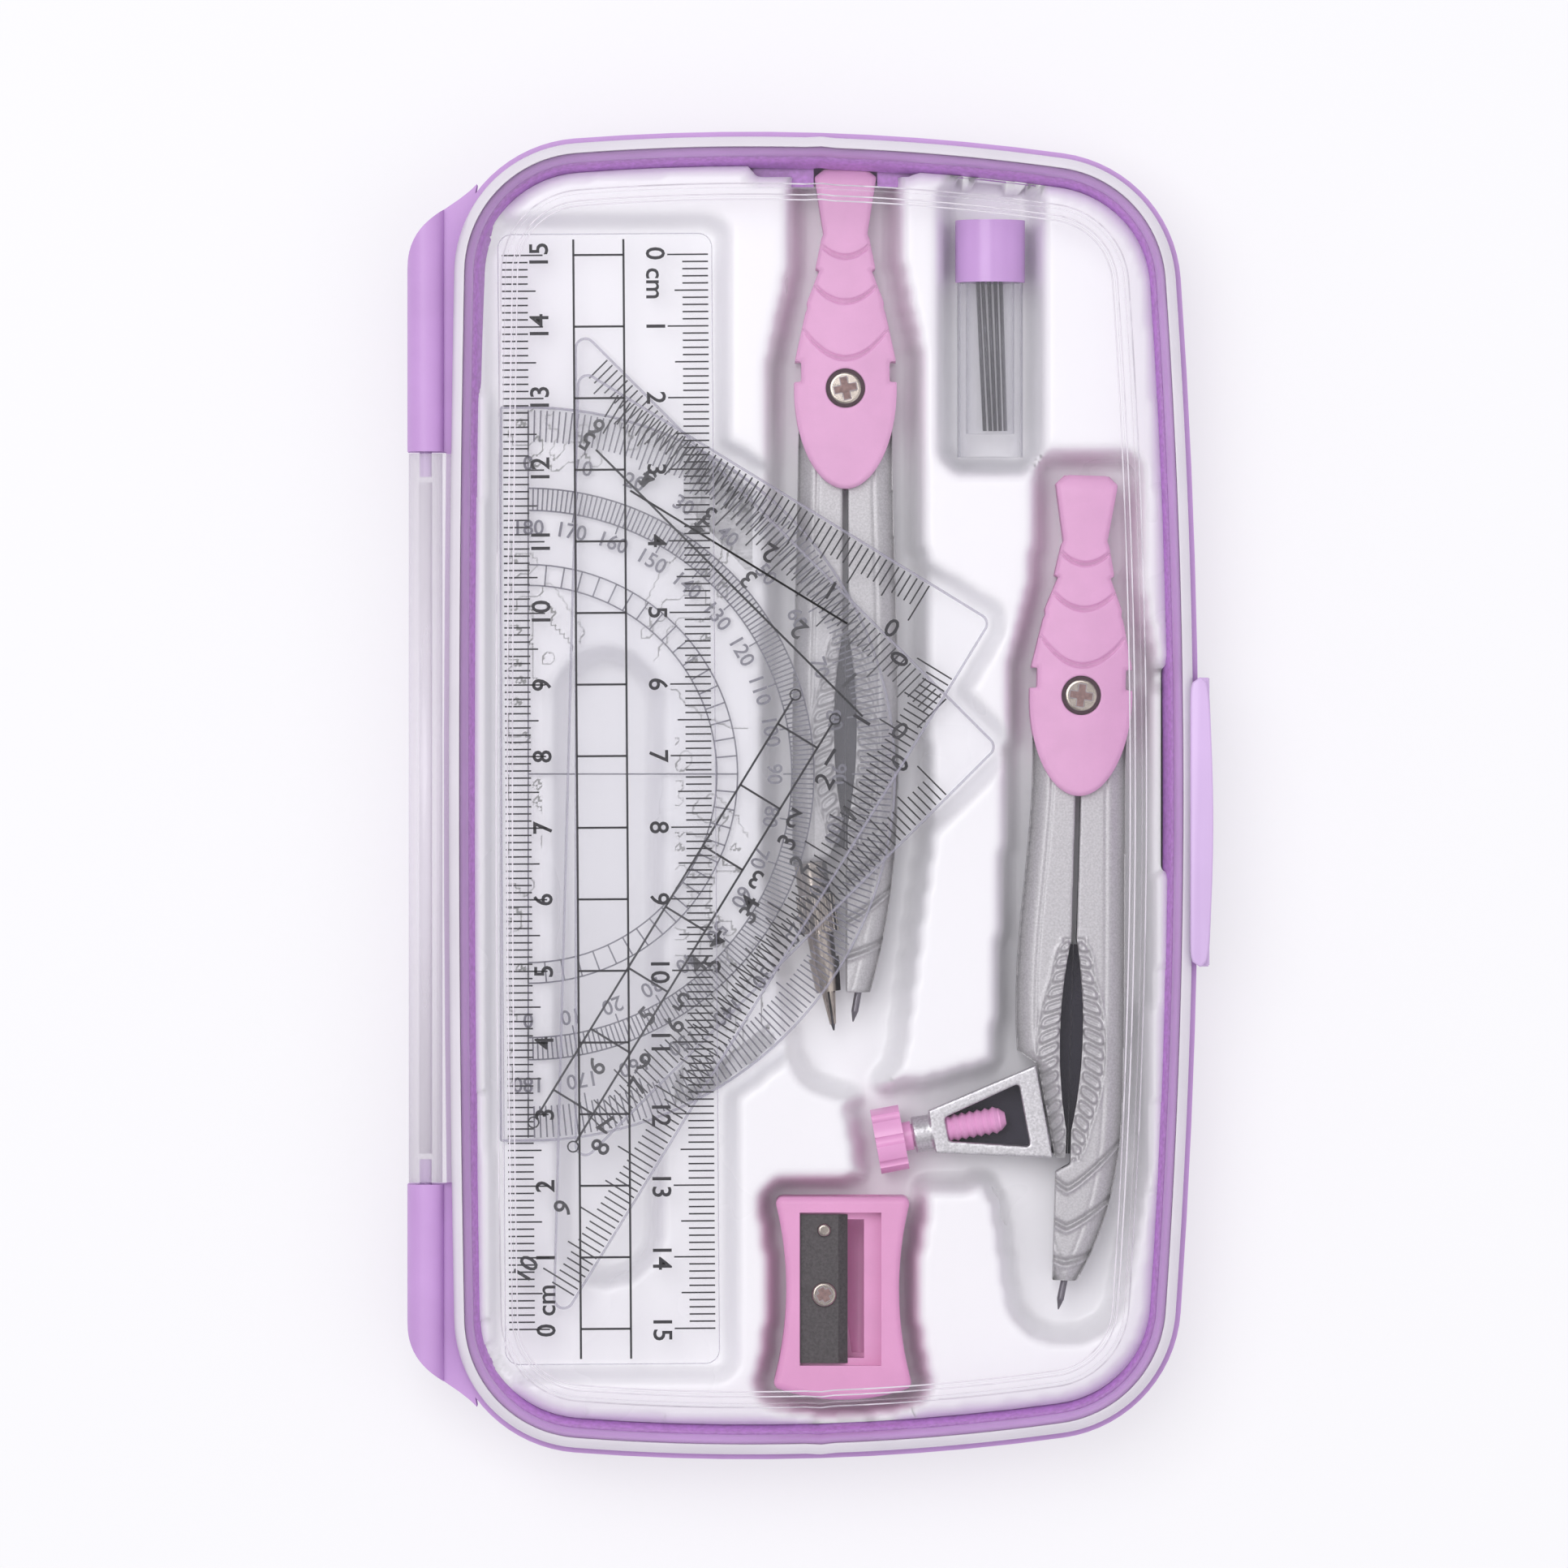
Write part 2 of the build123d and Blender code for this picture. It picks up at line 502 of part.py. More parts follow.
def head_shell(front):
    """One half of the head, clamping the lapped legs against the other. Built front side up."""
    plan, top = head_plan(), HEAD_THICK / 2
    shell = layer(plan, 0, top)
    cheek = LEG_THICK / 2 + CHEEK_GAP
    room = Pos(0, LUG_R + LAP_GAP - HEAD_BOTTOM) * Rectangle(4 * HEAD_HALF, 2 * HEAD_BOTTOM)
    shell -= layer(room, 0, cheek)
    shell = chamfer(edges_at(shell, top), GROOVE_DEPTH)
    for tier, drop in enumerate(CHEVRON_DROPS):
        shell -= layer(chevron(tier, drop), top - GROOVE_DEPTH, top)
    shell -= layer(Circle(SCREW_R + PIN_SNUG), 0, top)
    if front:
        seat = top - SCREW_SINK - SCREW_HEAD_THICK
        return shell - layer(Circle(SCREW_HEAD_R + FIT), seat, top)
    nut = RegularPolygon(NUT_ACROSS / 2 + FIT / 2, 6, major_radius=False)
    return Rot(Y=180) * (shell - layer(nut, top - NUT_THICK, top))


def pivot_screw():
    """Pan head screw down through the head, its shank ending in the nut."""
    top = HEAD_THICK / 2 - SCREW_SINK
    seat = top - SCREW_HEAD_THICK
    head = layer(Circle(SCREW_HEAD_R), seat, top)
    head = fillet(edges_at(head, top), SCREW_HEAD_THICK * 0.6)
    shank = layer(Circle(SCREW_R), FIT - HEAD_THICK / 2, seat)
    cross = Rectangle(CROSS_LENGTH, CROSS_WIDTH) + Rectangle(CROSS_WIDTH, CROSS_LENGTH)
    return head + shank - layer(cross, top - CROSS_DEPTH, top)


def pivot_nut():
    nut = RegularPolygon(NUT_ACROSS / 2, 6, major_radius=False) - Circle(SCREW_R + PIN_SNUG)
    return layer(nut, -HEAD_THICK / 2, NUT_THICK - HEAD_THICK / 2)


def pivot_washer():
    return layer(Circle(WASHER_R) - Circle(SCREW_R + PIN_RUNNING), 0.02 - LUG_GAP, LUG_GAP - 0.02)


def leg_inner_edges(bottom):
    """The inside edge of a right-hand leg, down through the eye."""
    top = -LUG_R - LAP_GAP
    return [
        Line((LEG_GAP, top), (LEG_GAP, -EYE_TOP)),
        ThreePointArc((LEG_GAP, -EYE_TOP), (EYE_HALF, -(EYE_TOP + EYE_BOTTOM) / 2),
                      (LEG_GAP, -EYE_BOTTOM)),
        Line((LEG_GAP, -EYE_BOTTOM), bottom),
    ]


def lug(upper):
    """The round lapped end of a leg with its link down to the full-thickness bar."""
    low, high = (LUG_GAP, LEG_THICK / 2) if upper else (-LEG_THICK / 2, -LUG_GAP)
    link = polygon([(LEG_GAP, 0), (LUG_R, 0), (LEG_TOP_HALF, -LUG_R - LAP_GAP),
                    (LEG_GAP, -LUG_R - LAP_GAP)])
    face = Circle(LUG_R) + link
    return layer(face, low, high)


def finish_leg(plan, upper):
    bar = layer(plan, -LEG_THICK / 2, LEG_THICK / 2)
    outer = [e for e in edges_at(bar, LEG_THICK / 2) + edges_at(bar, -LEG_THICK / 2)
             if e.center().X > LEG_TOP_HALF - 2.0]
    bar = fillet(outer, LEG_EDGE_R)
    return bar + lug(upper) - layer(Circle(SCREW_R + PIN_RUNNING), -LEG_THICK, LEG_THICK)


def needle_point(foot, distance):
    """A point on the needle's axis, so far out of the foot's end."""
    turn = radians(NEEDLE_TURN)
    return (foot[0] - distance * sin(turn), -foot[1] - distance * cos(turn), 0)


def needle_leg(foot):
    """A right-hand leg that tapers to a foot, at the given place, that holds the needle."""
    top = -LUG_R - LAP_GAP
    foot_x, foot_y = foot
    inner, outer = foot_x - FOOT_HALF, foot_x + FOOT_HALF
    knee = (LEG_GAP, -KNEE_Y)
    step = (min(inner, LEG_GAP), -KNEE_Y - KNEE_STEP)
    plan = make_face(leg_inner_edges(knee) + [
        Line(knee, step),
        Line(step, (inner, -foot_y)),
        Line((inner, -foot_y), (outer, -foot_y)),
        Spline((outer, -foot_y), (LEG_SHIN_HALF, -LEG_SHIN_Y), (LEG_BELLY_HALF, -LEG_BELLY_Y),
               (LEG_NECK_HALF, -LEG_NECK_Y), (LEG_TOP_HALF, top)),
        Line((LEG_TOP_HALF, top), (LEG_GAP, top)),
    ])
    bore = rod(needle_point(foot, -NEEDLE_IN), needle_point(foot, 1.0), NEEDLE_R + PIN_SNUG)
    return finish_leg(plan, True) - bore


def needle(foot):
    shoulder = NEEDLE_OUT - NEEDLE_TIP
    pin = rod(needle_point(foot, -NEEDLE_IN), needle_point(foot, shoulder), NEEDLE_R)
    return pin + rod(needle_point(foot, shoulder), needle_point(foot, NEEDLE_OUT), NEEDLE_R, 0.08)


def chuck_point(distance):
    """A point on the lead chuck's axis, so far from the leg's end."""
    turn = radians(CHUCK_TURN)
    return (CHUCK_X + distance * sin(turn), CHUCK_Y - distance * cos(turn), 0)


def lead_leg():
    """The left-hand leg that ends square across the lead chuck's axis. Drawn right-handed."""
    top = -LUG_R - LAP_GAP
    turn = radians(CHUCK_TURN)
    half = CHUCK_BARREL_R + 0.2
    outer = (-CHUCK_X + half * cos(turn), CHUCK_Y - half * sin(turn))
    inner = (-CHUCK_X - half * cos(turn), CHUCK_Y + half * sin(turn))
    plan = make_face(leg_inner_edges(inner) + [
        Line(inner, outer),
        Spline(outer, (LEG_BELLY_HALF, -LEG_BELLY_Y), (LEG_NECK_HALF, -LEG_NECK_Y),
               (LEG_TOP_HALF, top)),
        Line((LEG_TOP_HALF, top), (LEG_GAP, top)),
    ])
    leg = mirror(finish_leg(plan, True), about=Plane.YZ)
    leg = Rot(Y=180) * mirror(leg, about=Plane.YZ)
    return leg - rod(chuck_point(-CHUCK_SPIGOT_LENGTH), chuck_point(0), CHUCK_SPIGOT_R + PIN_SNUG)


def chuck_barrel():
    """Fixed barrel: spigot in the leg, body, and the journal that the collar turns on."""
    end = CHUCK_BARREL_LENGTH + COLLAR_LENGTH
    body = rod(chuck_point(-CHUCK_SPIGOT_LENGTH), chuck_point(0), CHUCK_SPIGOT_R)
    body += rod(chuck_point(0), chuck_point(CHUCK_BARREL_LENGTH - FIT), CHUCK_BARREL_R)
    body += rod(chuck_point(0), chuck_point(end), CHUCK_SPIGOT_R)
    return body - rod(chuck_point(end - COLLAR_LENGTH), chuck_point(end), LEAD_R + PIN_SNUG)


def chuck_collar():
    start, end = CHUCK_BARREL_LENGTH, CHUCK_BARREL_LENGTH + COLLAR_LENGTH - FIT
    ring = rod(chuck_point(start), chuck_point(end), COLLAR_R)
    ring -= rod(chuck_point(start), chuck_point(end), CHUCK_SPIGOT_R + PIN_RUNNING)
    axis_place = Pos(*chuck_point(start)) * Rot(Z=CHUCK_TURN) * Rot(X=90)
    for flute in range(COLLAR_FLUTES):
        spoke = Rot(Z=flute * 360 / COLLAR_FLUTES) * Pos(COLLAR_R, 0)
        ring -= axis_place * layer(spoke * Circle(0.22), 0, end - start)
    return ring


def chuck_nose():
    start = CHUCK_BARREL_LENGTH + COLLAR_LENGTH
    nose = rod(chuck_point(start), chuck_point(start + NOSE_WAIST), NOSE_TOP_R, NOSE_WAIST_R)
    nose += rod(chuck_point(start + NOSE_WAIST), chuck_point(start + NOSE_LENGTH),
                NOSE_BAND_R, NOSE_END_R)
    return nose - rod(chuck_point(start), chuck_point(start + NOSE_LENGTH), COLLET_R + PIN_SNUG)


def chuck_collet():
    start = CHUCK_BARREL_LENGTH + COLLAR_LENGTH
    mouth = start + NOSE_LENGTH
    end = mouth + COLLET_LENGTH
    collet = rod(chuck_point(start), chuck_point(mouth), COLLET_R)
    collet += rod(chuck_point(mouth), chuck_point(end), COLLET_R, COLLET_TIP_R)
    collet -= rod(chuck_point(start), chuck_point(end), LEAD_R + PIN_SNUG)
    slot = Pos(*chuck_point(mouth + COLLET_LENGTH / 2)) * Rot(Z=CHUCK_TURN) * Box(
        COLLET_SLOT, COLLET_LENGTH, 3 * COLLET_R)
    return collet - slot


def chuck_lead():
    end = CHUCK_BARREL_LENGTH + COLLAR_LENGTH + NOSE_LENGTH + COLLET_LENGTH
    start = CHUCK_BARREL_LENGTH + FIT
    return rod(chuck_point(start), chuck_point(end), LEAD_R) + rod(
        chuck_point(end), chuck_point(end + LEAD_OUT), LEAD_R, 0.1)


def holder_point(out, side=0.0, up=0.0):
    """A point so far out of the leg along the holder's axis."""
    turn = radians(HOLDER_TURN)
    return (HOLDER_X - out * cos(turn) + side * sin(turn),
            HOLDER_Y - out * sin(turn) - side * cos(turn), up)


def holder_leg():
    """The left-hand leg, cut back to a slanted shin that the pencil holder swivels on."""
    top = -LUG_R - LAP_GAP
    half = HOLDER_ROOT_HALF
    high = holder_point(-HOLDER_GAP, -half)
    low = holder_point(-HOLDER_GAP, half)
    plan = make_face([
        Line((-LEG_GAP, top), (-LEG_GAP, -EYE_TOP)),
        ThreePointArc((-LEG_GAP, -EYE_TOP), (-EYE_HALF, -(EYE_TOP + EYE_BOTTOM) / 2),
                      (-LEG_GAP, -EYE_BOTTOM)),
        Line((-LEG_GAP, -EYE_BOTTOM), (-LEG_GAP, low[1])),
        Line((-LEG_GAP, low[1]), low[:2]),
        Line(low[:2], high[:2]),
        Line(high[:2], (-LEG_BELLY_HALF, -LEG_BELLY_Y)),
        Spline((-LEG_BELLY_HALF, -LEG_BELLY_Y), (-LEG_BELLY_HALF - BULGE_OUT, BULGE_RISE - LEG_BELLY_Y),
               (-LEG_NECK_HALF, -LEG_NECK_Y), (-LEG_TOP_HALF, top)),
        Line((-LEG_TOP_HALF, top), (-LEG_GAP, top)),
    ])
    bar = layer(plan, -LEG_THICK / 2, LEG_THICK / 2)
    lapped = Rot(Y=180) * lug(True)
    leg = bar + lapped - layer(Circle(SCREW_R + PIN_RUNNING), -LEG_THICK, LEG_THICK)
    return leg - rod(holder_point(-HOLDER_GAP - HOLDER_PIN_LENGTH), holder_point(0),
                     HOLDER_PIN_R + PIN_RUNNING)


def holder_frame():
    """A tapered ring that clamps a pencil, with a threaded boss at its nose and a swivel pin."""
    root, nose, long = HOLDER_ROOT_HALF, HOLDER_NOSE_HALF, HOLDER_LENGTH
    outer = polygon([holder_point(0, -root)[:2], holder_point(0, root)[:2],
                     holder_point(long, nose)[:2], holder_point(long, -nose)[:2]])
    bar = HOLDER_BAR
    window = polygon([holder_point(HOLDER_ROOT_BAR, bar - root)[:2],
                      holder_point(HOLDER_ROOT_BAR, root - bar)[:2],
                      holder_point(long - bar, nose - bar + 0.8)[:2],
                      holder_point(long - bar, bar - 0.8 - nose)[:2]], 0.4)
    frame = layer(outer, -HOLDER_THICK / 2, HOLDER_THICK / 2)
    frame -= layer(window, -HOLDER_THICK, HOLDER_THICK)
    frame += rod(holder_point(long - bar / 2), holder_point(long + BOSS_LENGTH),
                 BOSS_R - 0.2, BOSS_R)
    frame -= layer(window, -HOLDER_THICK, HOLDER_THICK)
    frame -= rod(holder_point(long - 2 * bar), holder_point(long + BOSS_LENGTH),
                 THREAD_R + THREAD_GAP)
    return frame + rod(holder_point(-HOLDER_GAP - HOLDER_PIN_LENGTH + FIT), holder_point(0.1),
                       HOLDER_PIN_R)


def thumb_screw():
    """Ridged shank, neck and lobed knob on the holder's axis."""
    mouth = HOLDER_LENGTH + BOSS_LENGTH
    tip = HOLDER_LENGTH - THREAD_REACH
    face = mouth + KNOB_TRAVEL_GAP + SCREW_NECK_LENGTH
    screw = rod(holder_point(tip + 0.8), holder_point(mouth + KNOB_TRAVEL_GAP), THREAD_CORE_R)
    screw += rod(holder_point(tip), holder_point(tip + 0.8), THREAD_CORE_R * 0.55, THREAD_CORE_R)
    ridges = int((mouth - tip - 1.0) / THREAD_PITCH)
    for ridge in range(ridges):
        middle = tip + 1.0 + (ridge + 0.5) * THREAD_PITCH
        half = THREAD_PITCH / 2
        screw += rod(holder_point(middle - half), holder_point(middle), THREAD_CORE_R, THREAD_R)
        screw += rod(holder_point(middle), holder_point(middle + half), THREAD_R, THREAD_CORE_R)
    screw += rod(holder_point(mouth + KNOB_TRAVEL_GAP), holder_point(face), SCREW_NECK_R)
    knob = rod(holder_point(face), holder_point(face + KNOB_THICK), KNOB_R)
    place = Pos(*holder_point(face)) * Rot(Z=HOLDER_TURN) * Rot(Y=-90)
    for lobe in range(KNOB_LOBES):
        spoke = Rot(Z=lobe * 360 / KNOB_LOBES) * Pos(KNOB_R + KNOB_LOBE_R / 3, 0)
        knob -= place * layer(spoke * Circle(KNOB_LOBE_R), 0, KNOB_THICK)
    return screw + knob


# ---------------------------------------------------------------- lead tube
TUBE_Z = WELL_FLOOR + CAP_R + 0.1


def tube_point(down):
    """A point on the tube's axis, so far below the mouth of its body."""
    return (TUBE_X, TUBE_TOP_Y - down, TUBE_Z)


def lead_tube():
    body = rod(tube_point(0), tube_point(TUBE_LENGTH), TUBE_R)
    body += rod(tube_point(-TUBE_SPIGOT_LENGTH), tube_point(0), TUBE_SPIGOT_R)
    return body - rod(tube_point(-TUBE_SPIGOT_LENGTH), tube_point(TUBE_LENGTH - TUBE_FOOT),
                      TUBE_SPIGOT_R - TUBE_WALL)


def lead_cap():
    gap = FIT / 2
    body = rod(tube_point(-CAP_LENGTH), tube_point(-gap), CAP_R)
    return body - rod(tube_point(-TUBE_SPIGOT_LENGTH - FIT), tube_point(-gap),
                      TUBE_SPIGOT_R + CAP_FIT)


def spare_leads():
    """Loose leads that lean in a bundle on the tube's floor."""
    rods = []
    reach = TUBE_SPIGOT_R - TUBE_WALL - SPARE_LEAD_R - 0.1
    for n in range(SPARE_LEADS):
        x = (n - (SPARE_LEADS - 1) / 2) * (2 * SPARE_LEAD_R + 0.12)
        z = -sqrt(max(reach ** 2 - x ** 2, 0.0))
        foot = Vector(*tube_point(TUBE_LENGTH - TUBE_FOOT - 0.2)) + Vector(x, 0, z)
        head = foot + Vector(0, SPARE_LEAD_LENGTH, 0)
        rods.append(rod(tuple(foot), tuple(head), SPARE_LEAD_R))
    return rods


# ---------------------------------------------------------------- sharpener
SHARPENER_TOP = WELL_FLOOR + SHARPENER_HEIGHT
AT_SHARPENER = Pos(SHARPENER_X, SHARPENER_Y, 0)
BLADE_FLOOR = SHARPENER_TOP - WINDOW_DEPTH
BLADE_X = WINDOW_X - WINDOW_WIDTH / 2 + BLADE_WIDTH / 2 + 0.1


def sharpener_plan(gap=0.0):
    half = SHARPENER_LENGTH / 2
    top, waist, foot = SHARPENER_TOP_HALF, SHARPENER_WAIST_HALF, SHARPENER_FOOT_HALF
    face = make_face([
        Line((-top, half), (top, half)),
        ThreePointArc((top, half), (waist, 0), (foot, -half)),
        ThreePointArc((foot, -half), (0, -half - SHARPENER_BELLY), (-foot, -half)),
        ThreePointArc((-foot, -half), (-waist, 0), (-top, half)),
    ])
    face = fillet(face.vertices(), SHARPENER_EDGE_R)
    return offset(face, amount=gap) if gap else face


def sharpener_body():
    half = SHARPENER_LENGTH / 2
    body = layer(sharpener_plan(), WELL_FLOOR, SHARPENER_TOP)
    body = fillet(edges_at(body, SHARPENER_TOP) + edges_at(body, WELL_FLOOR), SHARPENER_EDGE_R)
    body -= Pos(WINDOW_X, WINDOW_Y, 0) * layer(Rectangle(WINDOW_WIDTH, WINDOW_LENGTH),
                                               BLADE_FLOOR, SHARPENER_TOP)
    z = WELL_FLOOR + BORE_Z
    body -= rod((BORE_X, half, z), (BORE_X, half - BORE_LENGTH, z), BORE_R, BORE_END_R)
    slot_x = BLADE_X + BLADE_WIDTH / 2 + SWARF_WIDTH / 2
    body -= Pos(slot_x - BLADE_BEVEL, WINDOW_Y, 0) * layer(
        Rectangle(SWARF_WIDTH, WINDOW_LENGTH - 2.0), z, SHARPENER_TOP)
    for y in (BLADE_SCREW_Y, BLADE_RIVET_Y):
        body -= Pos(BLADE_X, y, 0) * layer(Circle(BLADE_SCREW_SHANK_R + PIN_SNUG),
                                           BLADE_FLOOR - 1.5, BLADE_FLOOR)
    return AT_SHARPENER * body


def blade():
    half, top = BLADE_WIDTH / 2, BLADE_THICK
    section = polygon([(-half, 0), (half, 0), (half, 0.1), (half - BLADE_BEVEL, top),
                       (-half, top)])
    plate = extrude(Plane.XZ * section, amount=BLADE_LENGTH / 2, both=True)
    for y in (BLADE_SCREW_Y, BLADE_RIVET_Y):
        plate -= Pos(0, y - WINDOW_Y, 0) * layer(Circle(BLADE_SCREW_SHANK_R + PIN_SNUG), 0, top)
    return AT_SHARPENER * Pos(BLADE_X, WINDOW_Y, BLADE_FLOOR) * plate


def blade_screws():
    made = []
    for y, radius in ((BLADE_SCREW_Y, BLADE_SCREW_R), (BLADE_RIVET_Y, BLADE_RIVET_R)):
        head_low = BLADE_FLOOR + BLADE_THICK
        head = layer(Circle(radius), head_low, head_low + BLADE_SCREW_THICK)
        head = fillet(edges_at(head, head_low + BLADE_SCREW_THICK), BLADE_SCREW_THICK * 0.5)
        head += layer(Circle(BLADE_SCREW_SHANK_R), BLADE_FLOOR - 1.4, head_low)
        made.append(AT_SHARPENER * Pos(BLADE_X, y, 0) * head)
    return made


# ---------------------------------------------------------------- tray
def compass_well(at, gap, foot_y):
    """A well round a compass: the head's own widths, then the legs', and a rounded far end."""
    grip = GRIP_HALF + gap
    belly = LEG_BELLY_HALF + gap + WELL_SLACK
    low = -foot_y - WELL_END_GAP
    right = [(grip, HEAD_TOP + gap), (grip, TIERS[0][2]), (HEAD_HALF + gap, TIERS[2][2]),
             (HEAD_HALF + gap, -HEAD_BOTTOM), (belly, -LEG_BELLY_Y), (belly, -LEG_SHIN_Y),
             (WELL_END_HALF, low)]
    left = [(-x, y) for x, y in reversed(right)]
    face = polygon(right + left)
    rest = [v for v in face.vertices() if v.Y >= low + gap]
    face = fillet(rest, WELL_CORNER_R)
    ends = [v for v in face.vertices() if v.Y < low + gap]
    face = fillet(ends, WELL_END_HALF * 0.9)
    flat = Pos(at.position.X, at.position.Y, 0) * Rot(Z=at.orientation.Z)
    return flat * face


def holder_well():
    gap = HOLDER_WELL_GAP
    mouth = HOLDER_LENGTH + BOSS_LENGTH + KNOB_TRAVEL_GAP + SCREW_NECK_LENGTH
    end = mouth + KNOB_THICK + gap
    points = [holder_point(-2, -HOLDER_ROOT_HALF - gap), holder_point(-2, HOLDER_ROOT_HALF + gap),
              holder_point(mouth - 2, KNOB_R + gap), holder_point(end, KNOB_R + gap),
              holder_point(end, -KNOB_R - gap), holder_point(mouth - 2, -KNOB_R - gap)]
    flat = Pos(PIVOT_B_X, PIVOT_B_Y, 0) * Rot(Z=TURN_B)
    return flat * polygon([p[:2] for p in points], WELL_CORNER_R)


def tube_well():
    low = TUBE_TOP_Y - TUBE_LENGTH - TUBE_WELL_GAP
    high = TUBE_TOP_Y + CAP_LENGTH + CAP_TRAVEL + CAP_END_GAP
    width = 2 * (CAP_R + TUBE_WELL_GAP)
    return Pos(TUBE_X, (low + high) / 2) * RectangleRounded(width, high - low, WELL_CORNER_R)


def tray_outline(inset=0.0):
    """The tray's plan, with a thumb notch in the far end and one beside the latch."""
    face = bowed_outline(TRAY_SIDE_GAP + inset, TRAY_END_GAP + inset)
    end, side = CASE_LENGTH / 2 - TRAY_END_GAP, CASE_WIDTH / 2 - TRAY_SIDE_GAP
    face -= Pos(THUMB_X, end) * RectangleRounded(
        THUMB_WIDTH + 2 * inset, 2 * (THUMB_DEPTH + inset), THUMB_DEPTH * 0.9)
    face -= Pos(side, LATCH_NOTCH_Y) * RectangleRounded(
        2 * (LATCH_NOTCH_DEPTH + inset), LATCH_NOTCH_LENGTH + 2 * inset, LATCH_NOTCH_DEPTH * 0.9)
    return face


def tray():
    outline = tray_outline()
    deep = [
        compass_well(AT_A, WELL_A_GAP, FOOT_A_Y),
        compass_well(AT_B, WELL_B_GAP, FOOT_B_Y - WELL_B_SHORT),
        holder_well(),
        tube_well(),
        AT_SHARPENER * sharpener_plan(SHARPENER_GAP),
        Pos(SCOOP_X, SCOOP_Y) * RectangleRounded(SCOOP_WIDTH, SCOOP_LENGTH, SCOOP_WIDTH * 0.45),
    ]
    flats = ruler_plan(RECESS_GAP) + protractor_plan(RECESS_GAP)
    flats += square_60_plan(RECESS_GAP) + square_45_plan(RECESS_GAP)
    wells = [(face, WELL_FLOOR) for face in deep] + [(flats, FLATS_FLOOR)]
    body = layer(outline, TRAY_TOP - TRAY_SKIRT, TRAY_TOP)
    body -= layer(tray_outline(TRAY_WALL), TRAY_TOP - TRAY_SKIRT, TRAY_TOP - TRAY_WALL)
    for face, floor in wells:
        body += layer(offset(face, amount=TRAY_WALL) & outline, floor - TRAY_WALL, TRAY_TOP)
    for face, floor in wells:
        body -= layer(face, floor, TRAY_TOP)
    return body


# ---------------------------------------------------------------- the whole case
def build():
    keep("base_shell", base_shell())
    keep("hinge_pins", *hinge_pins())
    keep("lid", lid())
    keep("latch_flap", latch_flap())
    keep("latch_pin", latch_pin())
    keep("tray", tray())
    keep("ruler", ruler())
    keep("protractor", layer(protractor_plan(), PROTRACTOR_Z, PROTRACTOR_Z + SHEET))
    keep("set_square_45", layer(square_45_plan(), SQUARE_45_Z, SQUARE_45_Z + SHEET))
    keep("set_square_60", layer(square_60_plan(), SQUARE_60_Z, SQUARE_60_Z + SHEET))
    for name, at in (("lead_compass", AT_A), ("pencil_compass", AT_B)):
        keep(name + "_head_front", at * head_shell(True))
        keep(name + "_head_back", at * head_shell(False))
    keep("pivot_screws", AT_A * pivot_screw(), AT_B * pivot_screw())
    keep("pivot_nuts", AT_A * pivot_nut(), AT_B * pivot_nut())
    keep("pivot_washers", AT_A * pivot_washer(), AT_B * pivot_washer())
    keep("lead_compass_needle_leg", AT_A * needle_leg(FOOT_A))
    keep("lead_compass_needle", AT_A * needle(FOOT_A))
    keep("lead_compass_lead_leg", AT_A * lead_leg())
    keep("chuck_barrel", AT_A * chuck_barrel())
    keep("chuck_collar", AT_A * chuck_collar())
    keep("chuck_nose", AT_A * chuck_nose())
    keep("chuck_collet", AT_A * chuck_collet())
    keep("chuck_lead", AT_A * chuck_lead())
    keep("pencil_compass_needle_leg", AT_B * needle_leg(FOOT_B))
    keep("pencil_compass_needle", AT_B * needle(FOOT_B))
    keep("pencil_compass_holder_leg", AT_B * holder_leg())
    keep("pencil_holder_frame", AT_B * holder_frame())
    keep("thumb_screw", AT_B * thumb_screw())
    keep("lead_tube", lead_tube())
    keep("lead_tube_cap", lead_cap())
    keep("spare_leads", *spare_leads())
    keep("sharpener_body", sharpener_body())
    keep("sharpener_blade", blade())
    keep("sharpener_screws", *blade_screws())


build()
for name, shape in parts.items():
    export_step(shape, f"parts/{name}.step")
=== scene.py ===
"""Dresses the drafting instrument case.

Adds the finishes, the printed scales, the moulded reliefs and the small hardware that the
CAD pieces leave out.
"""

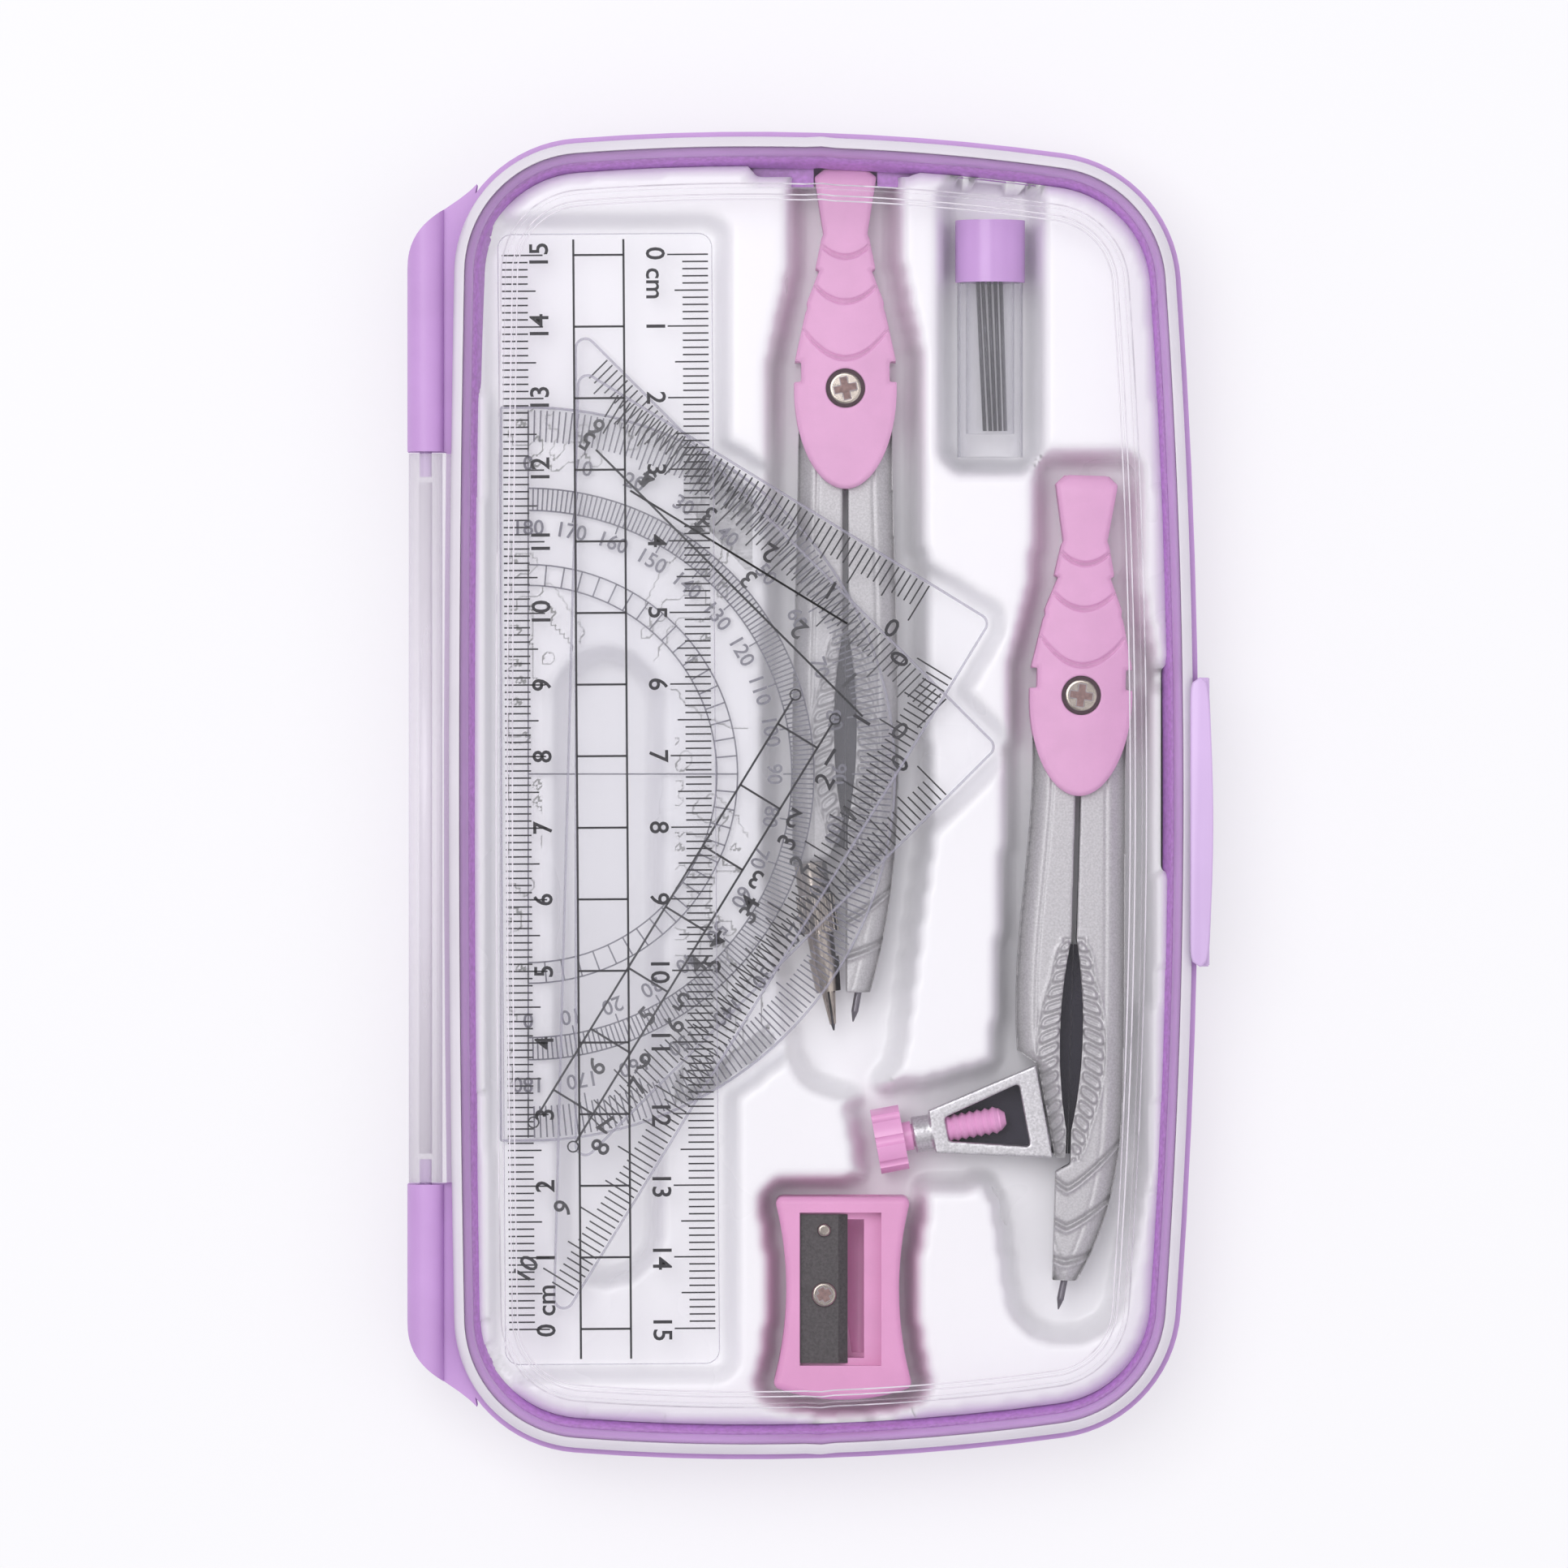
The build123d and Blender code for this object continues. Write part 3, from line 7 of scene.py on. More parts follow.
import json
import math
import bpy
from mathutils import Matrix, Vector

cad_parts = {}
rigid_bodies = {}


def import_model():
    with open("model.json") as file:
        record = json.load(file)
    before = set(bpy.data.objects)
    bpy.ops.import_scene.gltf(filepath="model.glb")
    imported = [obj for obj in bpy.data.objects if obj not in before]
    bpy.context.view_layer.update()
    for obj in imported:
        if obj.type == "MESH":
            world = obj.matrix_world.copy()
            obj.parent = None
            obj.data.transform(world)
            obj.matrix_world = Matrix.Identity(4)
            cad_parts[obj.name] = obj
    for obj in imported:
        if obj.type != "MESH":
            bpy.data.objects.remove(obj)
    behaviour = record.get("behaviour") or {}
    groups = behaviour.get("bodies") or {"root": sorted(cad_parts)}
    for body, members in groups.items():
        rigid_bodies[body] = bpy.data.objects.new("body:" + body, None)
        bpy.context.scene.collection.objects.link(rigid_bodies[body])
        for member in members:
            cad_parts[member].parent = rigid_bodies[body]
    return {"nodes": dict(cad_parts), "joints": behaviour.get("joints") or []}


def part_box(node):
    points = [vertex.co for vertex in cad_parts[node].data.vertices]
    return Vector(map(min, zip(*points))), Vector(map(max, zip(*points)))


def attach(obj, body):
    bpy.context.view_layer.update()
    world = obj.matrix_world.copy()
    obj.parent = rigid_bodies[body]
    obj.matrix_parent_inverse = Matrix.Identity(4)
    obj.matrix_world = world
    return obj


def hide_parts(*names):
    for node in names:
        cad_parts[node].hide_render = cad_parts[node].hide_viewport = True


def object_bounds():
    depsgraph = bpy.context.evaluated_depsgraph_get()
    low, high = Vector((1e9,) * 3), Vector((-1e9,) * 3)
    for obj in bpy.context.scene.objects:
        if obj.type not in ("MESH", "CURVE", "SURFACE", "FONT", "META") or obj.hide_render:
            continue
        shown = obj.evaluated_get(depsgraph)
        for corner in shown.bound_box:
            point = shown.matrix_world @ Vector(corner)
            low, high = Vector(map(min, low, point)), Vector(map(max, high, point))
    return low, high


bl_info = {
    "name": "Drafting Instrument Case",
    "version": (1, 0, 0),
    "blender": (4, 5, 0),
    "location": "View3D > Sidebar > Drafting Case",
    "description": "Adds the finishes, scales and fine detail of a drafting instrument case",
    "category": "Object",
}

import bmesh
import bpy
from bpy.props import FloatProperty, FloatVectorProperty, IntProperty, PointerProperty
from bpy.types import Operator, Panel, PropertyGroup
from mathutils import Matrix, Vector
from mathutils.bvhtree import BVHTree

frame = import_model()
CAD_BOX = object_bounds()
MM = 0.001
JOINTS = {joint["name"]: joint for joint in frame["joints"]}


def tint(red, green, blue):
    """A display colour, 0 to 255, as the linear colour that a shader takes."""
    def linear(value):
        value /= 255
        return value / 12.92 if value <= 0.04045 else ((value + 0.055) / 1.055) ** 2.4
    return (linear(red), linear(green), linear(blue))


def colour(name, value, words):
    """A colour that a user can change."""
    return FloatVectorProperty(name=name, description=words, subtype="COLOR", size=3,
                               min=0.0, max=1.0, default=value)


def length(name, millimetres, words):
    """A length that a user can change."""
    return FloatProperty(name=name, description=words, unit="LENGTH", precision=5,
                         default=millimetres * MM)


def clamp(value):
    """The value kept between 0 and 1."""
    return min(1.0, max(0.0, value))


# ------------------------------------------------------------------ what a user would change
class CaseColours(PropertyGroup):
    """Colours of the mouldings and metals."""
    case: colour("Case", tint(200, 157, 216), "The base and its hinge")
    # the seam colour is darker than the case's, painted shade of the gap beside the tray
    seam: colour("Seam", tint(184, 124, 204), "The case's inner wall, beside the tray")
    latch: colour("Latch", tint(222, 192, 238), "The latch flap")
    lid: colour("Lid", tint(252, 251, 253), "The clear lid's tint")
    # the band colour paints the highlight on the lid's clear rim
    band: colour("Band", tint(243, 238, 246), "The lid's frosted edge")
    tray: colour("Tray", tint(247, 246, 249), "The formed tray")
    clear: colour("Clear tools", tint(236, 236, 242), "The ruler, squares and protractor")
    grip: colour("Grip", tint(225, 169, 209), "The compass heads")
    silver: colour("Silver", tint(190, 188, 191), "The compass legs")
    cast: colour("Cast metal", tint(202, 200, 204), "The pencil holder")
    knob: colour("Knob", tint(234, 166, 214), "The thumb screw")
    sharpener: colour("Sharpener", tint(226, 156, 202), "The sharpener's body")
    cap: colour("Tube cap", tint(210, 166, 226), "The lead tube's cap")
    steel: colour("Steel", tint(178, 168, 160), "Screws and the chuck")
    blade: colour("Blade", tint(76, 72, 74), "The sharpener's blade")
    lead: colour("Lead", tint(62, 60, 68), "Graphite leads")
    ink: colour("Ink", tint(22, 18, 30), "Printed marks")


class PrintSizes(PropertyGroup):
    """Sizes of the printed scales."""
    tick: length("Tick width", 0.22, "Width of a millimetre mark")
    line: length("Line width", 0.3, "Width of a ruled line")
    film: length("Ink thickness", 0.012, "How far the ink stands on the plastic")
    short: length("Short mark", 3.6, "Length of a millimetre mark")
    half: length("Half mark", 4.7, "Length of a five millimetre mark")
    full: length("Full mark", 5.7, "Length of a centimetre mark")
    digit: length("Digit height", 2.6, "Height of the scale numbers")


class CaseForm(PropertyGroup):
    """The case's plan, and where its lid, band and seam lie inwards of its edge."""
    hinge_bow: length("Hinge side bow", 1.0, "How far the hinge side bows out")
    latch_bow: length("Latch side bow", 3.6, "How far the latch side bows out")
    bow_end: length("Bow's end", 6.0, "From the case's end to where the bow is measured")
    end_radius: length("End radius", 320.0, "Radius of the two bowed ends")
    apex: length("End apex", -10.0, "Where the ends stand out furthest, from the middle")
    corner: length("Corner radius", 19.0, "Radius of the corners")
    hinge_reach: length("Hinge reach", 5.1, "How far the hinge stands out of the case")
    latch_reach: length("Latch reach", 1.9, "How far the latch stands out of the case")
    rim: length("Rim", 0.75, "Width of the base's rim that shows outside the lid")
    # the band is the lid's edge, painted whitish as the highlight on its clear rim
    band: length("Band", 1.45, "Width of the lid's frosted edge")
    plateau: length("Plateau inset", 8.0, "From the case's edge to the lid's raised middle")
    sheet: length("Lid sheet", 1.3, "Thickness of the lid")


class LegRelief(PropertyGroup):
    """The moulded relief on the compass legs and heads."""
    voxel: length("Mesh step", 0.18, "Size of the moulded surface's mesh")
    rib_pitch: length("Rib pitch", 2.0, "Distance from rib to rib beside the eye")
    rib_height: length("Rib height", 0.5, "Height of the ribs")
    rib_length: length("Rib length", 3.0, "Length of the longest rib")
    groove_depth: length("Groove depth", 0.7, "Depth of the grooves round the foot")
    edge_width: length("Edge width", 2.8, "Width of the rounded outer edge")
    edge_drop: length("Edge drop", 1.9, "How far the outer edge falls away")


class TrayForm(PropertyGroup):
    """How the tray's sheet is drawn over its wells."""
    step: length("Mesh step", 0.6, "Size of the sheet's mesh")
    sheet: length("Sheet", 0.2, "Thickness of the formed sheet")
    softness: IntProperty(name="Softness", description="Passes that round the wells' edges",
                          default=4, min=0, max=20)


# ------------------------------------------------------------------ finishes
def new_finish(name, base, roughness, metallic=0.0):
    """A material with its shader, nodes and links at hand."""
    material = bpy.data.materials.new(name)
    material.use_nodes = True
    tree = material.node_tree
    shader = tree.nodes["Principled BSDF"]
    shader.inputs["Base Color"].default_value = (*base, 1)
    shader.inputs["Roughness"].default_value = roughness
    shader.inputs["Metallic"].default_value = metallic
    return material, tree, shader


def place_noise(tree, scale, detail=3.0, stretch=(1, 1, 1)):
    """Noise on object coordinates, so it stays with the piece."""
    where = tree.nodes.new("ShaderNodeTexCoord")
    turn = tree.nodes.new("ShaderNodeMapping")
    turn.inputs["Scale"].default_value = stretch
    noise = tree.nodes.new("ShaderNodeTexNoise")
    noise.inputs["Scale"].default_value = scale
    noise.inputs["Detail"].default_value = detail
    tree.links.new(where.outputs["Object"], turn.inputs["Vector"])
    tree.links.new(turn.outputs["Vector"], noise.inputs["Vector"])
    return noise


def add_grain(tree, shader, scale, depth, detail=2.0, stretch=(1, 1, 1)):
    """Fine bumps of the given depth in millimetres."""
    noise = place_noise(tree, scale, detail, stretch)
    bump = tree.nodes.new("ShaderNodeBump")
    bump.inputs["Distance"].default_value = depth * MM
    bump.inputs["Strength"].default_value = 1.0
    tree.links.new(noise.outputs["Fac"], bump.inputs["Height"])
    tree.links.new(bump.outputs["Normal"], shader.inputs["Normal"])


def add_variation(tree, shader, base, spread, scale, detail=3.0, stretch=(1, 1, 1)):
    """Lets the colour wander a little either side of the base colour."""
    noise = place_noise(tree, scale, detail, stretch)
    ramp = tree.nodes.new("ShaderNodeValToRGB")
    ramp.color_ramp.elements[0].position = 0.3
    ramp.color_ramp.elements[1].position = 0.7
    ramp.color_ramp.elements[0].color = (*[v * (1 - spread) for v in base], 1)
    ramp.color_ramp.elements[1].color = (*[min(1, v * (1 + spread)) for v in base], 1)
    tree.links.new(noise.outputs["Fac"], ramp.inputs["Fac"])
    tree.links.new(ramp.outputs["Color"], shader.inputs["Base Color"])


def add_roughness(tree, shader, low, high, scale):
    """Lets the gloss wander between two roughnesses, as handled plastic does."""
    noise = place_noise(tree, scale)
    spread = tree.nodes.new("ShaderNodeMapRange")
    spread.inputs["To Min"].default_value = low
    spread.inputs["To Max"].default_value = high
    tree.links.new(noise.outputs["Fac"], spread.inputs["Value"])
    tree.links.new(spread.outputs["Result"], shader.inputs["Roughness"])


def solid_finish(name, base, roughness, metallic=0.0, alpha=1.0, specular=0.5,
                 shades=None, grain=None, gloss=None):
    """A finish whose colour, surface and gloss vary as far as it is given values for them."""
    material, tree, shader = new_finish(name, base, roughness, metallic)
    shader.inputs["Alpha"].default_value = alpha
    shader.inputs["Specular IOR Level"].default_value = specular
    if shades:
        add_variation(tree, shader, base, *shades)
    if grain:
        add_grain(tree, shader, *grain)
    if gloss:
        add_roughness(tree, shader, *gloss)
    return material


def clear_finish(name, base, facing, edge, power, rim=None):
    """See-through plastic: nearly bare face on, and filling in where the surface turns away,
    there in the rim colour where one is given, which is painted shade for refraction.
    """
    roughness = 0.06
    material, tree, shader = new_finish(name, base, roughness)
    blend = tree.nodes.new("ShaderNodeMix")
    blend.data_type = "RGBA"
    blend.inputs["A"].default_value = (*base, 1)
    blend.inputs["B"].default_value = (*(rim or base), 1)
    tree.links.new(blend.outputs["Result"], shader.inputs["Base Color"])
    weight = tree.nodes.new("ShaderNodeLayerWeight")
    weight.inputs["Blend"].default_value = 0.5
    curve = tree.nodes.new("ShaderNodeMath")
    curve.operation = "POWER"
    curve.inputs[1].default_value = power
    spread = tree.nodes.new("ShaderNodeMapRange")
    spread.inputs["To Min"].default_value = facing
    spread.inputs["To Max"].default_value = edge
    tree.links.new(weight.outputs["Facing"], curve.inputs[0])
    tree.links.new(curve.outputs["Value"], spread.inputs["Value"])
    tree.links.new(curve.outputs["Value"], blend.inputs["Factor"])
    tree.links.new(spread.outputs["Result"], shader.inputs["Alpha"])
    add_roughness(tree, shader, roughness, roughness + 0.05, 40)
    return material


def dark_finish(name, base, roughness):
    """A dull dark finish that paints shade into gaps and sunk bands."""
    return solid_finish(name, base, roughness, specular=0.2, shades=(0.08, 300),
                        grain=(3000, 0.02))


FINISHES = {}


def make_finishes(colours):
    """Makes every material once.

    Shades are spread, scale, detail and stretch; grain is scale, depth in millimetres, detail
    and stretch; gloss is two roughnesses and a scale.
    """
    FINISHES.update(
        case=solid_finish("case_lilac", colours.case, 0.42, shades=(0.05, 90),
                          grain=(2600, 0.02)),
        seam=solid_finish("case_seam", colours.seam, 0.34, shades=(0.12, 1500, 1.0),
                          grain=(2200, 0.03)),
        latch=solid_finish("latch_lilac", colours.latch, 0.22, alpha=0.92, shades=(0.04, 60)),
        band=solid_finish("lid_band", colours.band, 0.12, alpha=0.84, shades=(0.04, 70)),
        tray=solid_finish("tray_white", colours.tray, 0.28, shades=(0.012, 25),
                          gloss=(0.22, 0.36, 30)),
        grip=solid_finish("grip_pink", colours.grip, 0.48, specular=0.35,
                          shades=(0.035, 220), grain=(3800, 0.03)),
        silver=solid_finish("leg_silver", colours.silver, 0.42, 0.45,
                            shades=(0.11, 3600, 1.0), grain=(3600, 0.022)),
        cast=solid_finish("holder_silver", colours.cast, 0.34, 0.75,
                          shades=(0.16, 3200, 1.0), grain=(3000, 0.028)),
        knob=solid_finish("knob_pink", colours.knob, 0.22, shades=(0.03, 150)),
        sharpener=solid_finish("sharpener_pink", colours.sharpener, 0.42,
                               shades=(0.03, 160), grain=(3000, 0.02)),
        cap=solid_finish("cap_lilac", colours.cap, 0.2, alpha=0.93, shades=(0.05, 120)),
        steel=solid_finish("bright_steel", colours.steel, 0.2, 1.0, shades=(0.1, 700),
                           gloss=(0.14, 0.3, 900)),
        # painted shade of the screws' cross recess
        recess=solid_finish("steel_recess", tint(136, 108, 104), 0.6, shades=(0.25, 1800)),
        blade=solid_finish("blade_steel", colours.blade, 0.4, 0.7, shades=(0.25, 2600, 4.0),
                           grain=(1500, 0.012, 2.0, (1, 0.08, 1))),
        # painted highlight on the edge of the screws' cross recess
        edge=solid_finish("ground_steel", tint(150, 142, 146), 0.35, 0.6,
                          grain=(1800, 0.02, 2.0, (0.1, 1, 1))),
        needle=solid_finish("needle_steel", tint(118, 114, 122), 0.3, 0.8,
                            shades=(0.15, 700, 3.0, (1, 0.1, 1))),
        lead=solid_finish("graphite", colours.lead, 0.36, 0.5, shades=(0.25, 900)),
        ink=solid_finish("black_ink", colours.ink, 0.5, shades=(0.15, 1500)),
        faint=solid_finish("grey_ink", tint(120, 118, 132), 0.5, alpha=0.75,
                           shades=(0.15, 1500)),
        # painted shade: the clear tools' side faces, greyed as refraction darkens them
        clear_edge=solid_finish("tool_edge", tint(176, 173, 190), 0.14, alpha=0.42,
                                shades=(0.08, 300)),
        # painted shade: the heads' sunk bands, the legs' eye walls and webs, the holder's web and
        # the ring round each screw head
        groove=dark_finish("grip_groove", [v * 0.8 for v in colours.grip], 0.55),
        gap=dark_finish("leg_gap", tint(58, 55, 68), 0.6),
        ring=dark_finish("screw_shade", tint(74, 54, 62), 0.6),
        lid=clear_finish("lid_clear", colours.lid, 0.015, 0.85, 2.6),
        # the rim colours of tool_clear and tube_clear are painted shade for refraction at grazing
        # angles
        clear=clear_finish("tool_clear", colours.clear, 0.03, 0.8, 3.0, tint(206, 204, 216)),
        tube=clear_finish("tube_clear", colours.clear, 0.06, 0.85, 1.6, tint(150, 146, 162)),
        barrel=clear_finish("hinge_clear", colours.band, 0.25, 0.85, 1.3),
    )


CAD_FINISHES = {
    "base_shell": "case", "lid": "lid", "latch_flap": "latch", "latch_pin": "steel",
    "hinge_pins": "latch", "tray": "tray", "ruler": "clear", "protractor": "clear",
    "set_square_45": "clear", "set_square_60": "clear", "lead_compass_head_front": "grip",
    "lead_compass_head_back": "grip", "pencil_compass_head_front": "grip",
    "pencil_compass_head_back": "grip", "pivot_screws": "steel", "pivot_nuts": "steel",
    "pivot_washers": "steel", "lead_compass_needle_leg": "silver",
    "lead_compass_needle": "needle", "lead_compass_lead_leg": "silver",
    "chuck_barrel": "steel", "chuck_collar": "steel", "chuck_nose": "steel",
    "chuck_collet": "steel", "chuck_lead": "lead", "pencil_compass_needle_leg": "silver",
    "pencil_compass_needle": "needle", "pencil_compass_holder_leg": "silver",
    "pencil_holder_frame": "cast", "thumb_screw": "knob", "lead_tube": "tube",
    "lead_tube_cap": "cap", "spare_leads": "lead", "sharpener_body": "sharpener",
    "sharpener_blade": "blade", "sharpener_screws": "steel",
}


# ------------------------------------------------------------------ building blocks
def body_of(node):
    """The body that a node belongs to."""
    return frame["nodes"][node].parent.name.split(":", 1)[1]


def put_in_scene(name, data):
    """A new object in the scene."""
    item = bpy.data.objects.new(name, data)
    bpy.context.scene.collection.objects.link(item)
    return item


def mesh_object(name, bm):
    """A new object that takes over a bmesh."""
    mesh = bpy.data.meshes.new(name)
    bm.to_mesh(mesh)
    bm.free()
    return put_in_scene(name, mesh)


def add_piece(name, bm, finish, node, replaces=(), smooth=True, second=None):
    """Turns a bmesh into a piece that rides with a node; second is the finish of index 1."""
    piece = mesh_object(name, bm)
    for key in filter(None, (finish, second)):
        piece.data.materials.append(FINISHES[key])
    for face in piece.data.polygons:
        face.use_smooth = smooth
    body = body_of(node)
    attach(piece, body)
    if replaces:
        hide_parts(*replaces)
    return piece


def copy_node(node):
    """A node's mesh as a bmesh with its loose triangles joined up."""
    bm = bmesh.new()
    bm.from_mesh(frame["nodes"][node].data)
    bmesh.ops.remove_doubles(bm, verts=bm.verts, dist=0.002 * MM)
    return bm


def remeshed(bm, voxel):
    """The same form on an even mesh."""
    form = mesh_object("form", bm)
    mesh = form.data
    remesh = form.modifiers.new("even", "REMESH")
    remesh.mode = "VOXEL"
    remesh.voxel_size = voxel
    shaped = form.evaluated_get(bpy.context.evaluated_depsgraph_get())
    even = bmesh.new()
    even.from_mesh(shaped.to_mesh())
    shaped.to_mesh_clear()
    bpy.data.objects.remove(form)
    bpy.data.meshes.remove(mesh)
    return even


def soften(bm, passes, factor=0.5, axes="xyz"):
    """Smooths a form along the given axes."""
    for _ in range(passes):
        bmesh.ops.smooth_vert(bm, verts=bm.verts, factor=factor, use_axis_x="x" in axes,
                              use_axis_y="y" in axes, use_axis_z="z" in axes)


def z_turn(degrees):
    """A turn about the upright axis."""
    return Matrix.Rotation(math.radians(degrees), 4, "Z")


def drawn_basis(position, degrees):
    """From a flat drawing's own axes, in metres, to the frame."""
    return Matrix.Translation(position) @ z_turn(degrees)


def add_block(bm, spot, size, turn=Matrix.Identity(4), place=Matrix.Identity(4)):
    """A box about a spot, turned there, and placed with its drawing."""
    bmesh.ops.create_cube(bm, size=1.0, matrix=place @ Matrix.Translation(spot) @ turn
                          @ Matrix.Diagonal((*size, 1)))


def add_rod(bm, place, radius, depth, segments):
    """A closed cylinder along the Z axis of its place."""
    bmesh.ops.create_cone(bm, cap_ends=True, segments=segments, radius1=radius,
                          radius2=radius, depth=depth, matrix=place)


def add_slab(bm, points, thickness):
    """A flat slab that rises from an outline; returns its upper vertices."""
    face = bm.faces.new([bm.verts.new(point) for point in points])
    grown = bmesh.ops.extrude_face_region(bm, geom=[face])["geom"]
    tops = [item for item in grown if isinstance(item, bmesh.types.BMVert)]
    bmesh.ops.translate(bm, verts=tops, vec=(0, 0, thickness))
    bmesh.ops.recalc_face_normals(bm, faces=bm.faces)
    return tops


def bevel_edges(bm, edges, width, segments):
    """Rounds the given edges."""
    bmesh.ops.bevel(bm, geom=edges, offset=width, offset_type="OFFSET", segments=segments,
                    profile=0.5, affect="EDGES", clamp_overlap=True, material=-1)


class Pen:
    """Prints on a flat tool, in the axes of its drawing."""

    cap_height = 0.7
    boldness = 0.018
    smoothness = 3
    ring_steps = 14

    def __init__(self, bm, place, sizes):
        self.bm = bm
        self.place = place
        self.sizes = sizes

    def bar(self, start, end, width=None):
        """A line as a very flat block, as wide as a tick if no width is given."""
        start, end = Vector(start), Vector(end)
        run, middle = end - start, (start + end) / 2
        film = self.sizes.film
        turn = Matrix.Rotation(math.atan2(run.y, run.x), 4, "Z")
        size = (run.length, width or self.sizes.tick, film)
        add_block(self.bm, (middle.x, middle.y, film / 2), size, turn, self.place)

    def line(self, start, end):
        """A ruled line, wider than a tick."""
        self.bar(start, end, self.sizes.line)

    def arc(self, radius, low, high, step=3.0, centre=(0.0, 0.0)):
        """Bars along an arc, between two angles in degrees."""
        count = round((high - low) / step)
        angles = [math.radians(low + (high - low) * k / count) for k in range(count + 1)]
        spots = [(centre[0] + radius * math.cos(angle), centre[1] + radius * math.sin(angle))
                 for angle in angles]
        for start, end in zip(spots, spots[1:]):
            self.bar(start, end)

    def ring(self, centre, radius):
        """A small ring."""
        self.arc(radius, 0, 360, 360 / self.ring_steps, centre)

    def text(self, words, spot, degrees, share=1.0):
        """Figures centred on a spot, of a share of the usual height."""
        height, film = self.sizes.digit * share, self.sizes.film
        curve = bpy.data.curves.new("figures", "FONT")
        curve.body = words
        curve.size = height / self.cap_height
        curve.align_x = "CENTER"
        curve.align_y = "CENTER"
        curve.resolution_u = self.smoothness
        curve.offset = height * self.boldness
        curve.extrude = film / 2
        text = put_in_scene("figures", curve)
        bpy.context.view_layer.update()
        mesh = bpy.data.meshes.new_from_object(text)
        spot = Matrix.Translation((*spot, film / 2))
        mesh.transform(self.place @ spot @ z_turn(degrees))
        self.bm.from_mesh(mesh)
        bpy.data.objects.remove(text)
        bpy.data.curves.remove(curve)
        bpy.data.meshes.remove(mesh)


# ------------------------------------------------------------------ stage
class DRAFT_OT_stage(Operator):
    """Floor, lights, world and the camera that looks straight down"""
    bl_idname = "draft.stage"
    bl_label = "Stage"

    stacked_sheets = 48
    sky, mirrored_sky = 0.70, 0.44
    floor_size, floor_drop, floor_glow = 3.0, 0.02 * MM, 0.6
    lamp_size = 0.6
    lamps = (("key", (-0.24, 0.24, 0.88), 3.5), ("fill", (0.36, -0.16, 0.72), 0.8))
    lens, sensor = 300.0, 36.0
    seen_width = 219.5 * MM
    aim = (-3.6 * MM, 1.6 * MM)

    def execute(self, context):
        scene = context.scene
        scene.view_settings.view_transform = "Standard"
        scene.cycles.transparent_max_bounces = self.stacked_sheets
        self.add_world(scene)
        self.add_floor()
        for name, place, power in self.lamps:
            self.add_lamp(name, place, power)
        self.add_camera(scene)
        return {"FINISHED"}

    def mix_for_camera(self, tree, share, plain, seen, output):
        """Shows the camera one shader and everything else another."""
        mix = tree.nodes.new("ShaderNodeMixShader")
        tree.links.new(share, mix.inputs["Fac"])
        tree.links.new(plain, mix.inputs[1])
        tree.links.new(seen, mix.inputs[2])
        tree.links.new(mix.outputs["Shader"], tree.nodes[output].inputs["Surface"])

    def add_world(self, scene):
        """Soft light from all round, dimmer in reflections and near white behind the case."""
        world = bpy.data.worlds.new("studio")
        world.use_nodes = True
        tree = world.node_tree
        light = tree.nodes["Background"]
        light.inputs["Color"].default_value = (*tint(243, 241, 246), 1)
        path = tree.nodes.new("ShaderNodeLightPath")
        dim = tree.nodes.new("ShaderNodeMath")
        dim.operation = "MULTIPLY_ADD"
        dim.inputs[1].default_value = self.mirrored_sky - self.sky
        dim.inputs[2].default_value = self.sky
        tree.links.new(path.outputs["Is Glossy Ray"], dim.inputs[0])
        tree.links.new(dim.outputs["Value"], light.inputs["Strength"])
        seen = tree.nodes.new("ShaderNodeBackground")
        seen.inputs["Color"].default_value = (*tint(253, 253, 254), 1)
        self.mix_for_camera(tree, path.outputs["Is Camera Ray"], light.outputs["Background"],
                            seen.outputs["Background"], "World Output")
        scene.world = world

    def add_floor(self):
        """White where it is seen, yet with a diffuse share that keeps the shadow."""
        bm = bmesh.new()
        bmesh.ops.create_grid(bm, x_segments=1, y_segments=1, size=self.floor_size)
        floor = mesh_object("floor", bm)
        material, tree, shader = new_finish("floor_white", tint(246, 245, 249), 0.9)
        shader.inputs["Specular IOR Level"].default_value = 0.0
        glow = tree.nodes.new("ShaderNodeEmission")
        glow.inputs["Color"].default_value = (*tint(254, 254, 255), 1)
        share = tree.nodes.new("ShaderNodeMath")
        share.operation = "MULTIPLY"
        share.inputs[1].default_value = self.floor_glow
        path = tree.nodes.new("ShaderNodeLightPath")
        tree.links.new(path.outputs["Is Camera Ray"], share.inputs[0])
        self.mix_for_camera(tree, share.outputs["Value"], shader.outputs["BSDF"],
                            glow.outputs["Emission"], "Material Output")
        floor.data.materials.append(material)
        floor.location.z = -self.floor_drop

    def add_lamp(self, name, place, power):
        """A square lamp that points at the case."""
        data = bpy.data.lights.new(name, "AREA")
        data.shape = "SQUARE"
        data.size = self.lamp_size
        data.energy = power
        lamp = put_in_scene(name, data)
        lamp.location = place
        lamp.rotation_euler = (-Vector(place)).to_track_quat("-Z", "Y").to_euler()

    def add_camera(self, scene):
        """A long lens straight above, so the view is all but parallel."""
        low, high = CAD_BOX
        data = bpy.data.cameras.new("overhead")
        data.sensor_width = self.sensor
        data.lens = self.lens
        distance = self.seen_width * self.lens / self.sensor
        camera = put_in_scene("overhead", data)
        camera.location = (*self.aim, (low.z + high.z) / 2 + distance)
        scene.camera = camera


class DRAFT_OT_finishes(Operator):
    """Gives every CAD node its finish"""
    bl_idname = "draft.finishes"
    bl_label = "Finishes"

    def execute(self, context):
        make_finishes(context.scene.draft_colours)
        for node, finish in CAD_FINISHES.items():
            frame["nodes"][node].material_slots[0].material = FINISHES[finish]
        return {"FINISHED"}


